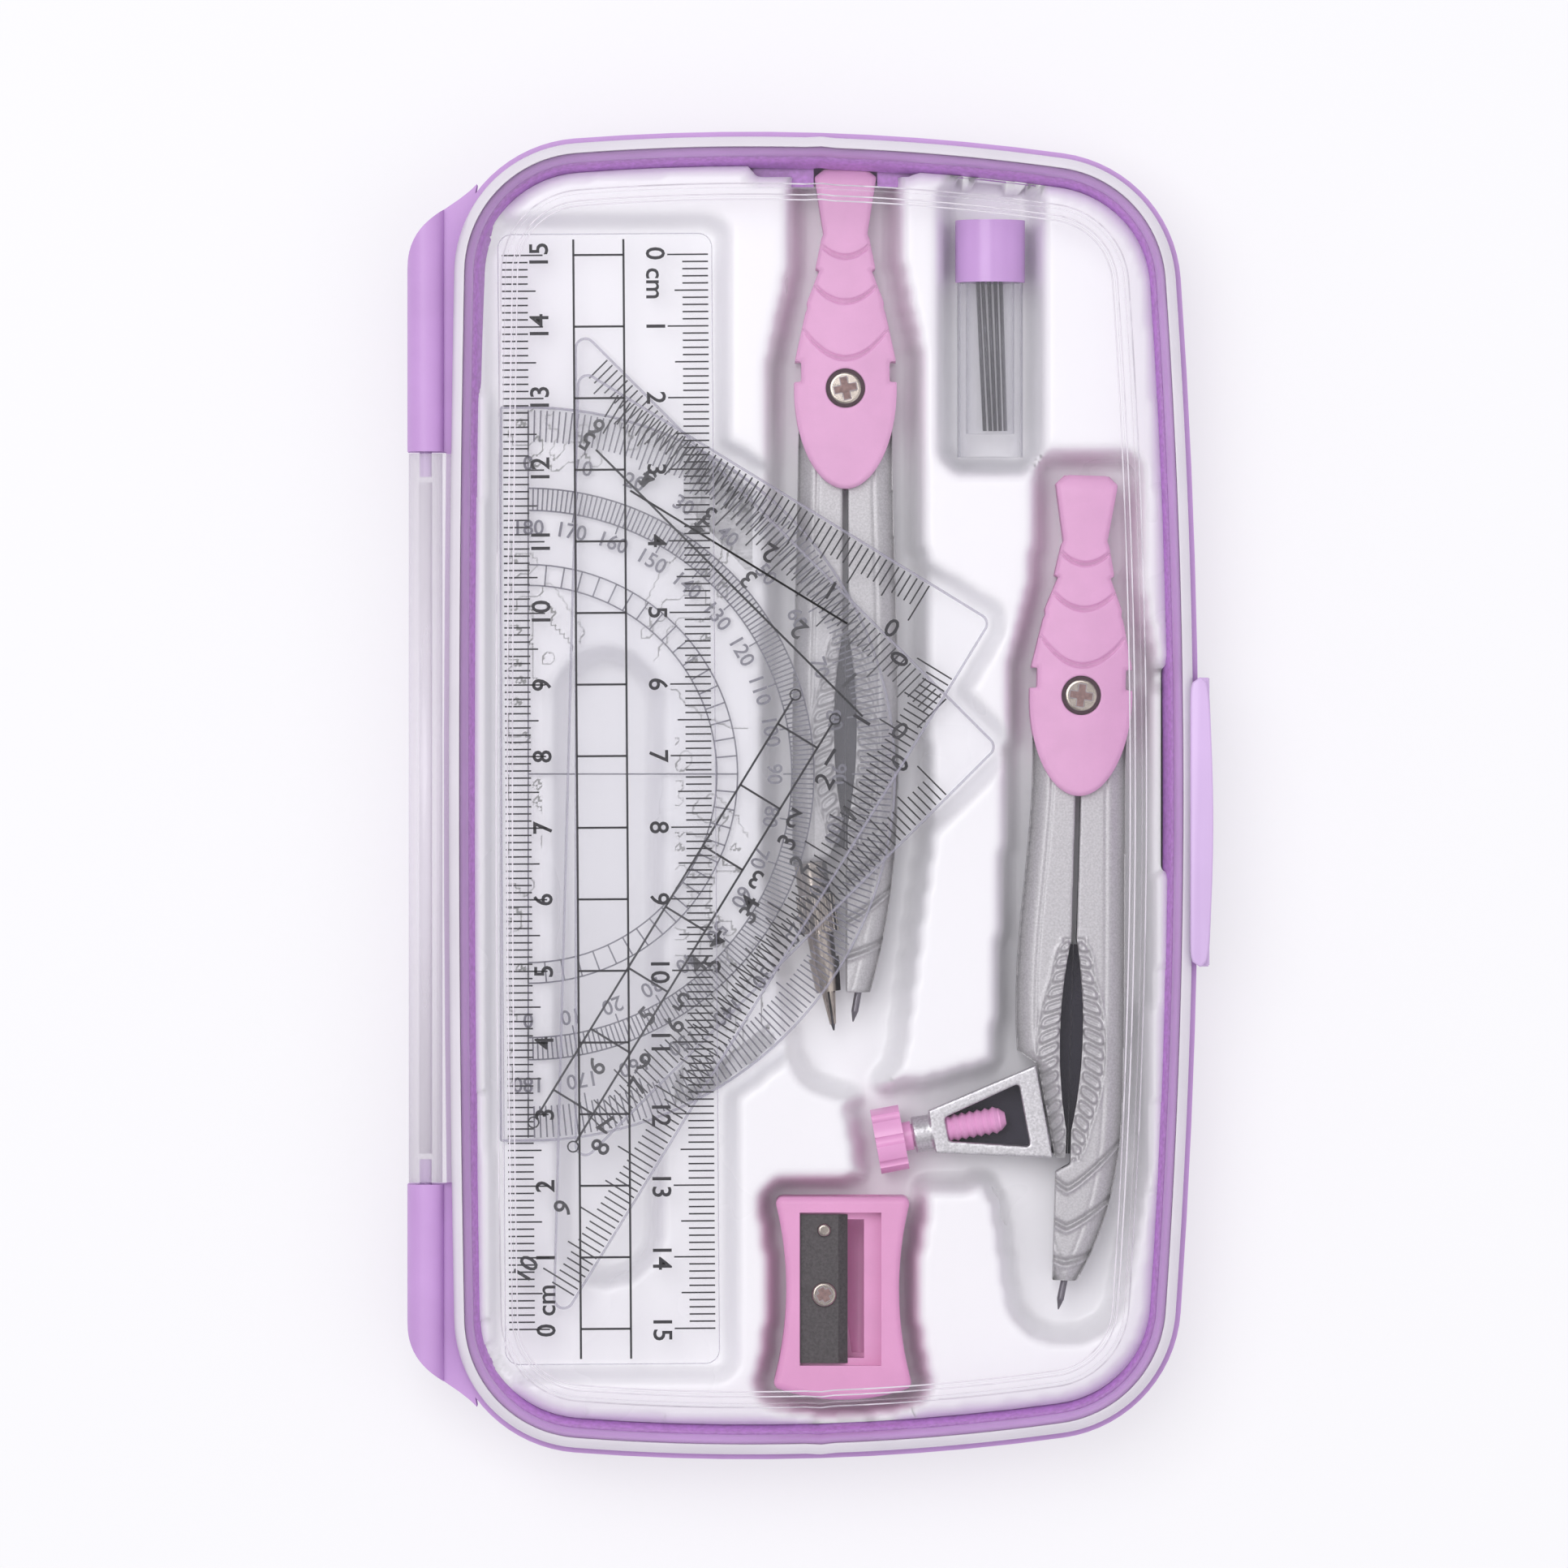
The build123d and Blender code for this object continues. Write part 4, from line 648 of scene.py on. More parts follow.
# ------------------------------------------------------------------ tray
class DRAFT_OT_tray(Operator):
    """Draws a sheet down over the tray's wells, as the forming press does"""
    bl_idname = "draft.tray"
    bl_label = "Formed tray"

    # finding the outer wall: its height, the strips it may stand in, and the sight lines
    skirt_height, skirt, near = 4.0 * MM, 3.4 * MM, 0.1 * MM
    edge_side, edge_end = 9.0 * MM, 13.0 * MM
    sight_drop, sight_gap, upright = 1.6 * MM, 0.02 * MM, 0.3
    # laying the sheet: where it starts, and how near the wall it stops and is drawn to it
    above = 50.0 * MM
    margin, reach = 0.35 * MM, 1.4 * MM
    # shaping the rim: its round and width, the grip's mouth, and the rim in the cap's mouth
    rim_round, rim_width = 1.3 * MM, 0.45 * MM
    mouth, lip = 7.5 * MM, 0.18 * MM
    # free space round a part that moves in its well
    room = 3.0 * MM

    def outer_wall(self, solid, tree, low, high):
        """The outer skirt: upright faces of just its height, or with nothing beyond them."""
        other = []
        for face in solid.faces:
            heights = [vert.co.z for vert in face.verts]
            outer = (abs(max(heights) - high.z) < self.near
                     and abs(min(heights) - (high.z - self.skirt_height)) < self.near)
            centre = face.calc_center_median()
            if not outer and self.beside_edge(centre, low, high):
                way = Vector((face.normal.x, face.normal.y, 0)).normalized()
                eye = Vector((centre.x, centre.y, high.z - self.sight_drop))
                outer = tree.ray_cast(eye + way * self.sight_gap, way)[0] is None
            if abs(face.normal.z) > self.upright or not outer:
                other.append(face)
        bmesh.ops.delete(solid, geom=other, context="FACES")
        return BVHTree.FromBMesh(solid)

    def beside_edge(self, spot, low, high):
        """Whether a spot lies in the strip that can hold the outer skirt."""
        side = min(spot.x - low.x, high.x - spot.x)
        end = min(spot.y - low.y, high.y - spot.y)
        return side < self.edge_side or end < self.edge_end

    def to_wall(self, vert):
        """The outer wall's nearest spot to a vertex in the plan, and how far off it is."""
        near, _, _, gap = self.wall.find_nearest(Vector((vert.co.x, vert.co.y, self.level)))
        return near, gap

    def press(self, step, tree, low, high):
        """A grid laid over the tray, each vertex dropped onto what lies below it."""
        bm = bmesh.new()
        columns, rows = (round((high[k] - low[k]) / step) for k in (0, 1))
        middle = (low + high) / 2
        size = Matrix.Diagonal(((high.x - low.x) / 2, (high.y - low.y) / 2, 1, 1))
        bmesh.ops.create_grid(bm, x_segments=columns, y_segments=rows, size=1.0,
                              matrix=Matrix.Translation((middle.x, middle.y, 0)) @ size)
        missed = []
        for vert in bm.verts:
            eye = Vector((vert.co.x, vert.co.y, self.above))
            hit = tree.ray_cast(eye, Vector((0, 0, -1)))[0]
            if hit is None or self.to_wall(vert)[1] < self.margin:
                missed.append(vert)
            else:
                vert.co.z = hit.z
        bmesh.ops.delete(bm, geom=missed, context="VERTS")
        return bm

    def around(self, node, verts):
        """The vertices within reach of a node that moves in its well, seen in the plan."""
        low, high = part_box(node)
        return [vert for vert in verts
                if all(low[k] - self.room < vert.co[k] < high[k] + self.room for k in (0, 1))]

    def widen(self, verts):
        """Widens the wells by a step of the mesh, so that rounding them leaves their room."""
        pressed = [min([vert.co.z] + [edge.other_vert(vert).co.z for edge in vert.link_edges])
                   for vert in verts]
        for vert, depth in zip(verts, pressed):
            vert.co.z = depth

    def raise_rim(self, bm, top):
        """Carries the rim past the wells that reach the edge.

        The grip's mouth stays open. In the mouth of the tube the rim stands close to the wall,
        which leaves the cap its way out.
        """
        pivot = JOINTS["lead_compass_right_swing"]["pos_m"]
        cap_low, cap_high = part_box("lead_tube_cap")
        for vert in bm.verts:
            near, gap = self.to_wall(vert)
            at_far_end = vert.co.y > pivot[1]
            if at_far_end and abs(vert.co.x - pivot[0]) < self.mouth:
                continue
            in_cap_mouth = at_far_end and cap_low.x < vert.co.x < cap_high.x
            if vert.is_boundary and gap < self.reach:
                vert.co.z = top
            elif in_cap_mouth and gap < self.reach and vert.co.z < self.level:
                way = Vector((vert.co.x - near.x, vert.co.y - near.y)).normalized()
                vert.co.x = near.x + way.x * self.lip
                vert.co.y = near.y + way.y * self.lip
            elif gap < self.rim_width:
                vert.co.z = top

    def round_rim(self, bm):
        """Brings the sheet's edge out to the wall and rounds it down."""
        for vert in bm.verts:
            near, gap = self.to_wall(vert)
            if vert.is_boundary and gap < self.reach:
                vert.co.x, vert.co.y = near.x, near.y
                gap = 0.0
            if gap < self.rim_round:
                fall = self.rim_round - gap
                drop = self.rim_round - math.sqrt(self.rim_round ** 2 - fall ** 2)
                vert.co.z -= drop * clamp((vert.co.z - self.level) / self.skirt)

    def execute(self, context):
        form = context.scene.draft_tray
        low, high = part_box("tray")
        solid = copy_node("tray")
        tree = BVHTree.FromBMesh(solid)
        self.wall = self.outer_wall(solid, tree, low, high)
        self.level = high.z - self.skirt
        solid.free()
        bm = self.press(form.step, tree, low, high)
        self.widen(bm.verts)
        self.widen(self.around("thumb_screw", bm.verts))
        soften(bm, form.softness, axes="z")
        self.raise_rim(bm, high.z)
        self.round_rim(bm)
        edges = [edge for edge in bm.edges if edge.is_boundary]
        for item in bmesh.ops.extrude_edge_only(bm, edges=edges)["geom"]:
            if isinstance(item, bmesh.types.BMVert):
                item.co.z = min(self.level, item.co.z - form.sheet)
        bmesh.ops.recalc_face_normals(bm, faces=bm.faces)
        piece = add_piece("formed_tray", bm, "tray", "tray", ["tray"])
        thicken = piece.modifiers.new("sheet", "SOLIDIFY")
        thicken.thickness = form.sheet
        thicken.offset = -1.0
        return {"FINISHED"}


# ------------------------------------------------------------------ case
class CaseOutline:
    """The case's plan as rings of points, moved inwards by any inset."""

    arc_steps = (26, 22, 16)

    def __init__(self, form):
        base_low, base_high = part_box("base_shell")
        self.length = (base_high.y - base_low.y) / 2
        self.parting = base_high.z - form.hinge_reach / 2
        self.left = base_low.x + form.hinge_reach
        self.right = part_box("latch_flap")[1].x - form.latch_reach
        self.middle = (self.left + self.right) / 2
        self.width = (self.right - self.left) / 2
        self.quarters = [self.quarter(form, bow, side) for side, bow in
                         ((1, form.latch_bow), (-1, form.hinge_bow))]

    def quarter(self, form, bow, side):
        """Centres, radii and angles of a quarter's three arcs, with the side turned to +X."""
        chord = self.length - form.bow_end
        side_r = (chord ** 2 + bow ** 2) / (2 * bow)
        side_c = Vector((self.width - side_r, 0))
        end_c = Vector((side * form.apex, self.length - form.end_radius))
        reach_a, reach_b = side_r - form.corner, form.end_radius - form.corner
        way = end_c - side_c
        gap = way.length
        along = (reach_a ** 2 - reach_b ** 2 + gap ** 2) / (2 * gap)
        off = math.sqrt(reach_a ** 2 - along ** 2)
        unit = way / gap
        turns = [side_c + unit * along + Vector((-unit.y, unit.x)) * off * sign
                 for sign in (1, -1)]
        corner_c = max(turns, key=lambda spot: spot.x + spot.y)
        first = (corner_c - side_c).to_2d()
        second = (corner_c - end_c).to_2d()
        start = math.atan2(first.y, first.x)
        stop = math.atan2(second.y, second.x)
        crown = math.acos(-end_c.x / form.end_radius)
        return ((side_c, side_r, 0.0, start), (corner_c, form.corner, start, stop),
                (end_c, form.end_radius, stop, crown))

    def quarter_points(self, arcs, inset):
        """Points along a quarter's arcs."""
        points = []
        for (centre, radius, start, stop), steps in zip(arcs, self.arc_steps):
            for step in range(steps):
                angle = start + (stop - start) * step / steps
                points.append(centre + Vector((math.cos(angle), math.sin(angle)))
                              * (radius - inset))
        return points

    def ring(self, inset, z):
        """The whole outline, anticlockwise from the latch side's middle."""
        right, left = (self.quarter_points(arcs, inset) for arcs in self.quarters)
        top_y = self.length - inset
        right.append(Vector((0, top_y)))
        left = [Vector((-spot.x, spot.y)) for spot in left]
        upper = right + left[::-1]
        lower = [Vector((spot.x, -spot.y)) for spot in upper[1:-1]][::-1]
        return [Vector((self.middle + spot.x, spot.y, z)) for spot in upper + lower]


def loft(bm, rings, looped=False, capped=False):
    """Faces between successive rings of points, closed round the section or by caps."""
    made = [[bm.verts.new(point) for point in ring] for ring in rings]
    count = len(made[0])
    pairs = list(zip(made, made[1:] + made[:1])) if looped else list(zip(made, made[1:]))
    for low, high in pairs:
        for k in range(count):
            n = (k + 1) % count
            bm.faces.new((low[k], low[n], high[n], high[k]))
    if capped:
        bm.faces.new(made[0][::-1])
        bm.faces.new(made[-1])
    bmesh.ops.recalc_face_normals(bm, faces=bm.faces)
    return made


def rounded(start, stop, centre, radius, steps=6):
    """Inset and height along a quarter round, between two angles in degrees."""
    spots = []
    for step in range(steps + 1):
        angle = math.radians(start + (stop - start) * step / steps)
        spots.append((centre[0] - radius * math.cos(angle), centre[1] + radius * math.sin(angle)))
    return spots


class DRAFT_OT_lid(Operator):
    """The lid: an edge painted whitish as the highlight on its clear rim, a clear shoulder and a
    raised clear middle
    """
    bl_idname = "draft.lid"
    bl_label = "Lid"

    # heights over the parting line, then the rounds of the section
    seat, rise = 0.05 * MM, 4.35 * MM
    edge_round, edge_steps = 2.4 * MM, 10
    plateau_round, foot_round = 0.9 * MM, 0.5 * MM
    clearance = 0.02 * MM
    ridges, ridge, ridge_depth = (7.3 * MM, 8.9 * MM, 9.6 * MM), 0.2 * MM, 0.1 * MM
    # the hinge: its bright core, and the web from the barrel to the lid
    core, core_step, rod_sides = 0.9 * MM, 4.0 * MM, 32
    web_in, web_root, web_thick, web_rise = 0.6 * MM, 0.7, 1.1 * MM, 0.7 * MM

    def execute(self, context):
        form = context.scene.draft_case
        outline = CaseOutline(form)
        low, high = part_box("lid")
        self.bottom = outline.parting + self.seat
        self.shoulder = self.bottom + self.rise
        self.make_band(form, outline)
        self.make_plate(form, outline, high.z)
        self.make_ridges(outline, high.z)
        self.make_barrel(form, outline, low)
        return {"FINISHED"}

    def make_band(self, form, outline):
        """The lid's edge, painted whitish as the highlight on its clear rim: a wall with a
        rounded top.
        """
        outer, inner = form.rim, form.rim + form.band
        centre = (outer + self.edge_round, self.shoulder - self.edge_round)
        section = [(outer, self.bottom)]
        section += [spot for spot in rounded(0, 90, centre, self.edge_round, self.edge_steps)
                    if spot[0] < inner]
        section += [(inner, section[-1][1] + 0.05 * MM), (inner, self.bottom)]
        bm = bmesh.new()
        loft(bm, [outline.ring(*spot) for spot in section], looped=True)
        add_piece("lid_band", bm, "band", "lid", ["lid"])

    def make_plate(self, form, outline, top):
        """One closed sheet: out along the underside, back over the top."""
        edge = form.rim + form.band + self.clearance
        raised, sheet, shoulder = form.plateau, form.sheet, self.shoulder
        ceiling, below = top - sheet, self.shoulder - sheet
        section = [(raised + 2.4 * MM, ceiling), (raised + sheet, ceiling - 0.6 * MM),
                   (raised + sheet * 0.9, below), (edge + 1.2 * MM, below),
                   (edge, below - 0.5 * MM), (edge, shoulder - 0.25 * MM),
                   (edge + 0.5 * MM, shoulder), (raised - 1.5 * MM, shoulder)]
        foot = (raised - self.foot_round, shoulder + self.foot_round)
        section += rounded(270, 180, foot, self.foot_round, 3)
        head = (raised + self.plateau_round, top - self.plateau_round)
        section += rounded(0, 90, head, self.plateau_round)
        bm = bmesh.new()
        loft(bm, [outline.ring(*spot) for spot in section], capped=True)
        add_piece("lid_plate", bm, "lid", "lid", smooth=False)

    def make_ridges(self, outline, top):
        """Fine bright lines of painted highlight where the raised middle turns down."""
        bm = bmesh.new()
        for inset, high in zip(self.ridges, (self.shoulder, top, top)):
            low, far = high - self.ridge_depth, inset + self.ridge
            spots = ((inset, low), (far, low), (far, high), (inset, high))
            loft(bm, [outline.ring(*spot) for spot in spots], looped=True)
        add_piece("lid_ridges", bm, "band", "lid")

    def make_barrel(self, form, outline, low):
        """The clear tube on the hinge, its brighter core and the web to the lid."""
        axis = Vector(JOINTS["lid_swing"]["pos_m"])
        near = [vert.co.y for vert in frame["nodes"]["lid"].data.vertices
                if vert.co.x < axis.x]
        middle, run = (min(near) + max(near)) / 2, max(near) - min(near)
        radius = axis.x - low.x
        place = Matrix.Translation((axis.x, middle, axis.z)) @ Matrix.Rotation(
            math.radians(90), 4, "X")
        for name, finish, size, inset in (("hinge_barrel", "barrel", radius, 0.0),
                                          ("hinge_core", "band", self.core, self.core_step)):
            bm = bmesh.new()
            add_rod(bm, place, size, run - 2 * inset, self.rod_sides)
            add_piece(name, bm, finish, "lid")
        bm = bmesh.new()
        start = axis.x + radius * self.web_root
        end = outline.left + form.rim + self.web_in
        add_block(bm, ((start + end) / 2, middle, self.bottom + self.web_rise),
                  (end - start, run, self.web_thick))
        add_piece("hinge_web", bm, "barrel", "lid", smooth=False)


class DRAFT_OT_latch(Operator):
    """The latch's lip, which reaches over the lid's edge"""
    bl_idname = "draft.latch"
    bl_label = "Latch lip"

    reach = 1.3 * MM
    thickness, bevel_steps = 0.7 * MM, 3
    above_lid = 4.45 * MM
    rows, sharpness = 60, 26
    outer_bow, least_ease = 0.45, 0.2

    def execute(self, context):
        outline = CaseOutline(context.scene.draft_case)
        low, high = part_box("latch_flap")
        middle, half = (low.y + high.y) / 2, (high.y - low.y) / 2
        foot = outline.parting + self.above_lid
        inner, outer = [], []
        for row in range(self.rows + 1):
            share = 2 * row / self.rows - 1
            ease = math.sqrt(max(0.0, 1 - abs(share) ** self.sharpness))
            bow = (1 - self.outer_bow * share ** 2) * max(ease, self.least_ease)
            y = middle + half * share
            inner.append((outline.right - self.reach * ease, y, foot))
            outer.append((outline.right + (high.x - outline.right) * bow, y, foot))
        bm = bmesh.new()
        tops = add_slab(bm, inner + outer[::-1], self.thickness)
        rim = [edge for edge in bm.edges if all(vert in tops for vert in edge.verts)]
        bevel_edges(bm, rim, self.thickness * 0.5, self.bevel_steps)
        add_piece("latch_lip", bm, "latch", "latch_flap")
        return {"FINISHED"}


class DRAFT_OT_seam(Operator):
    """The satin inner wall that shows between the lid's edge and the tray, painted darker than
    the case as shade
    """
    bl_idname = "draft.seam"
    bl_label = "Seam"

    ledge = ((2.25, 2.2), (3.4, -0.4), (3.4, -1.4), (2.25, -1.0))
    wall = ((3.4, -0.4), (4.2, -2.4), (4.9, -3.8), (4.9, -4.5), (3.4, -1.4))
    notch_reach = (4.45 * MM, 13.0 * MM)
    notch_depth, notch_thick, notch_drop = 2.6 * MM, 0.5 * MM, 4.0 * MM

    def execute(self, context):
        outline = CaseOutline(context.scene.draft_case)
        for name, finish, section in (("case_ledge", "case", self.ledge),
                                      ("case_seam", "seam", self.wall)):
            bm = bmesh.new()
            loft(bm, [outline.ring(inset * MM, outline.parting + drop * MM)
                      for inset, drop in section], looped=True)
            add_piece(name, bm, finish, "base_shell")
        self.add_notch_floor()
        return {"FINISHED"}

    def add_notch_floor(self):
        """The wall's foot that shows in the tray's thumb notch, either side of the grip, in the
        seam's painted shade.
        """
        pivot = JOINTS["lead_compass_right_swing"]["pos_m"]
        grip_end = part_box("lead_compass_head_front")[1].y
        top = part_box("tray")[1].z
        near, far = self.notch_reach
        bm = bmesh.new()
        for side in (-1, 1):
            spot = (pivot[0] + side * (near + far) / 2, grip_end - self.notch_depth / 2,
                    top - self.notch_drop)
            add_block(bm, spot, (far - near, self.notch_depth, self.notch_thick))
        add_piece("notch_floor", bm, "seam", "base_shell", smooth=False)


# ------------------------------------------------------------------ flat tools
class DRAFT_OT_sheets(Operator):
    """Eases the edges of the ruler, the squares and the protractor"""
    bl_idname = "draft.sheets"
    bl_label = "Clear sheets"

    flat, sharp, level = math.radians(1.0), math.radians(40), 0.95
    bevel_steps = 2
    widths = {"ruler": 0.12 * MM, "protractor": 0.35 * MM, "set_square_45": 0.35 * MM,
              "set_square_60": 0.35 * MM}

    def execute(self, context):
        for node, width in self.widths.items():
            bm = copy_node(node)
            bmesh.ops.dissolve_limit(bm, angle_limit=self.flat, verts=bm.verts, edges=bm.edges)
            corners = [edge for edge in bm.edges if edge.is_manifold
                       and edge.calc_face_angle() > self.sharp]
            bevel_edges(bm, corners, width, self.bevel_steps)
            bmesh.ops.recalc_face_normals(bm, faces=bm.faces)
            # Side faces take the grey edge finish, painted shade for refraction.
            for face in bm.faces:
                face.material_index = 0 if abs(face.normal.z) > self.level else 1
            add_piece("clear_" + node, bm, "clear", node, [node], smooth=False,
                      second="clear_edge")
        return {"FINISHED"}


def tick_length(sizes, count):
    """Length of a millimetre mark, by its number."""
    return sizes.full if count % 10 == 0 else sizes.half if count % 5 == 0 else sizes.short


class DRAFT_OT_ruler_scale(Operator):
    """Two centimetre scales that run opposite ways, with a ladder between them"""
    bl_idname = "draft.ruler_scale"
    bl_label = "Ruler scale"

    tilt, shift_up = 0.4, 1.0 * MM
    centimetres = 15
    # distances from the ruler's middle line, and of the unit from its number
    marks_at = 14.4 * MM
    numbers_at = (9.1 * MM, 6.9 * MM)
    unit_shift = 2.6 * MM
    ladder, ladder_inset = (-4.4 * MM, 2.6 * MM), 0.9 * MM

    def execute(self, context):
        sizes = context.scene.draft_print
        low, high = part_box("ruler")
        middle = (low + high) / 2
        bm = bmesh.new()
        place = drawn_basis((middle.x, middle.y + self.shift_up, high.z), self.tilt)
        pen = Pen(bm, place, sizes)
        half_scale = self.centimetres * 5 * MM
        for count in range(self.centimetres * 10 + 1):
            y = count * MM - half_scale
            reach = tick_length(sizes, count)
            for side in (-1, 1):
                pen.bar((side * self.marks_at, y), (side * (self.marks_at - reach), y))
        for count in range(self.centimetres + 1):
            y = count * 10 * MM - half_scale
            pen.line((self.ladder[0], y), (self.ladder[1], y))
            words, shift = (str(count), 0.0) if count else ("0 cm", self.unit_shift)
            left, right = self.numbers_at
            pen.text(words, (-left, y + shift), 90)
            pen.text(words, (right, -y - shift), -90)
        end = (high.y - low.y) / 2 - self.ladder_inset
        for x in self.ladder:
            pen.line((x, -end - self.shift_up), (x, end - self.shift_up))
        add_piece("ruler_scale", bm, "ink", "ruler", smooth=False)
        return {"FINISHED"}


class SquareSide:
    """One side of a set square, drawn along its -X axis and standing to one hand of it."""

    # the scale's start, its end before the corner, and its distance from the edge
    start, stop, margin = 10.0 * MM, 6.0 * MM, 0.5 * MM
    number_back, number_up = 1.4 * MM, 2.4 * MM
    ring = 0.75 * MM
    # ruled lines start this far past their inset, and end this many insets before the corner
    ladder_start, ladder_end = 6.0 * MM, 1.4
    rung_start, rung_number = 4.0 * MM, 2.2 * MM

    def __init__(self, pen, reach, hand):
        self.pen = pen
        self.reach = reach * MM
        self.hand = hand

    def draw_scale(self):
        """Millimetre marks with a number at every centimetre."""
        count, at = 0, self.start
        while at < self.reach - self.stop:
            mark = tick_length(self.pen.sizes, count)
            y = self.hand * self.margin
            self.pen.bar((-at, y), (-at, y + self.hand * mark))
            if count % 10 == 0:
                spot = (-at - self.number_back, self.hand * (mark + self.number_up))
                self.pen.text(str(count // 10), spot, 0 if self.hand > 0 else 180)
            count += 1
            at += MM

    def draw_line(self, inset, start, end):
        """A line parallel to the side."""
        self.pen.line((-start, self.hand * inset), (-end, self.hand * inset))

    def draw_ladder(self, first, second):
        """Two parallel lines that end in rings, with a numbered rung every centimetre."""
        start, end = self.span(second)
        for inset in (first, second):
            self.draw_line(inset, start, end)
            for x in (start - self.ring, end + self.ring):
                self.pen.ring((-x, self.hand * inset), self.ring)
        count, at = 1, start + self.rung_start
        while at < end:
            self.pen.line((-at, self.hand * first), (-at, self.hand * second))
            spot = (-at, self.hand * (first - self.rung_number))
            self.pen.text(str(count), spot, 90)
            count += 1
            at += 10 * MM

    def draw_ruled(self, inset):
        """A line parallel to the side, printed twice over so that it stands out."""
        for _ in range(2):
            self.draw_line(inset, *self.span(inset))

    def span(self, inset):
        """Where the lines of a ladder start and end."""
        return inset + self.ladder_start, self.reach - inset * self.ladder_end


class DRAFT_OT_square_scales(Operator):
    """Millimetre scales on both short sides of each set square, with ruled parallel lines"""
    bl_idname = "draft.square_scales"
    bl_label = "Square scales"

    # corner, turn in degrees, and the lengths of the upper and the lower side in millimetres
    squares = {"set_square_60": ((25.5, 24.5), -31.5, 68.0, 117.8),
               "set_square_45": ((26.5, 6.8), -45.0, 84.0, 84.0)}
    ladder = (11.5 * MM, 18.0 * MM)
    ruled = {"set_square_60": 11.0 * MM, "set_square_45": 10.5 * MM}

    def execute(self, context):
        for node, (corner, turn, upper, lower) in self.squares.items():
            spot = (corner[0] * MM, corner[1] * MM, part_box(node)[1].z)
            bm = bmesh.new()
            sizes = context.scene.draft_print
            first = SquareSide(Pen(bm, drawn_basis(spot, turn), sizes), upper, -1)
            second = SquareSide(Pen(bm, drawn_basis(spot, turn + 90), sizes), lower, 1)
            first.draw_scale()
            second.draw_scale()
            if node == "set_square_60":
                second.draw_ladder(*self.ladder)
            first.draw_ruled(self.ruled[node])
            add_piece(node + "_scale", bm, "ink", node, smooth=False)
        return {"FINISHED"}


class DRAFT_OT_protractor_scale(Operator):
    """Degree rings, an open grid ring and figures every ten degrees"""
    bl_idname = "draft.protractor_scale"
    bl_label = "Protractor scale"

    # rings of marks: radius, depth and degrees from mark to mark
    edge_inset, edge_depth = 0.6 * MM, 4.4 * MM
    rings = ((40.0 * MM, 3.1 * MM, 1), (29.3 * MM, 2.9 * MM, 5))
    longer = 1.2 * MM
    arcs = (40.0, 36.9, 29.3, 26.4)
    numbers = ((43.4, -1), (34.4, 1))
    number_share = 0.8
    base_inset = 1.0 * MM

    def execute(self, context):
        low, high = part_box("protractor")
        radius = (high.y - low.y) / 2
        bm = bmesh.new()
        place = drawn_basis((high.x - radius, (low.y + high.y) / 2, high.z), 0)
        pen = Pen(bm, place, context.scene.draft_print)
        for outer, depth, step in ((radius - self.edge_inset, self.edge_depth, 1), *self.rings):
            for degree in range(-90, 91, step):
                way = self.way(degree)
                far = self.longer if step == 1 and degree % 10 == 0 else 0.0
                pen.bar(way * outer, way * (outer - depth - far))
        for arc in self.arcs:
            pen.arc(arc * MM, -90, 90)
        for degree in range(-90, 91, 10):
            for reach, hand in self.numbers:
                pen.text(str(90 + hand * degree), self.way(degree) * reach * MM, degree - 90,
                         self.number_share)
        pen.bar((0, self.base_inset - radius), (0, radius - self.base_inset))
        pen.bar((0, 0), (self.arcs[-1] * MM, 0))
        add_piece("protractor_scale", bm, "faint", "protractor", smooth=False)
        return {"FINISHED"}

    def way(self, degree):
        """The direction of a degree mark."""
        return Vector((math.cos(math.radians(degree)), math.sin(math.radians(degree))))


# ------------------------------------------------------------------ compasses
class CompassForm:
    """Where a compass lies: its pivot, how far it is turned, and the nodes of its pieces."""

    def __init__(self, name, joint, degrees):
        self.name = name
        self.pivot = Vector(JOINTS[joint]["pos_m"])
        self.to_frame = drawn_basis(self.pivot, degrees)
        self.from_frame = self.to_frame.inverted()


COMPASSES = (
    CompassForm("lead_compass", "lead_compass_right_swing", 0.0),
    CompassForm("pencil_compass", "pencil_compass_right_swing", -1.6),
)


def bump(distance, width):
    """A smooth bump of height 1 at distance 0."""
    return math.exp(-(distance / width) ** 2)


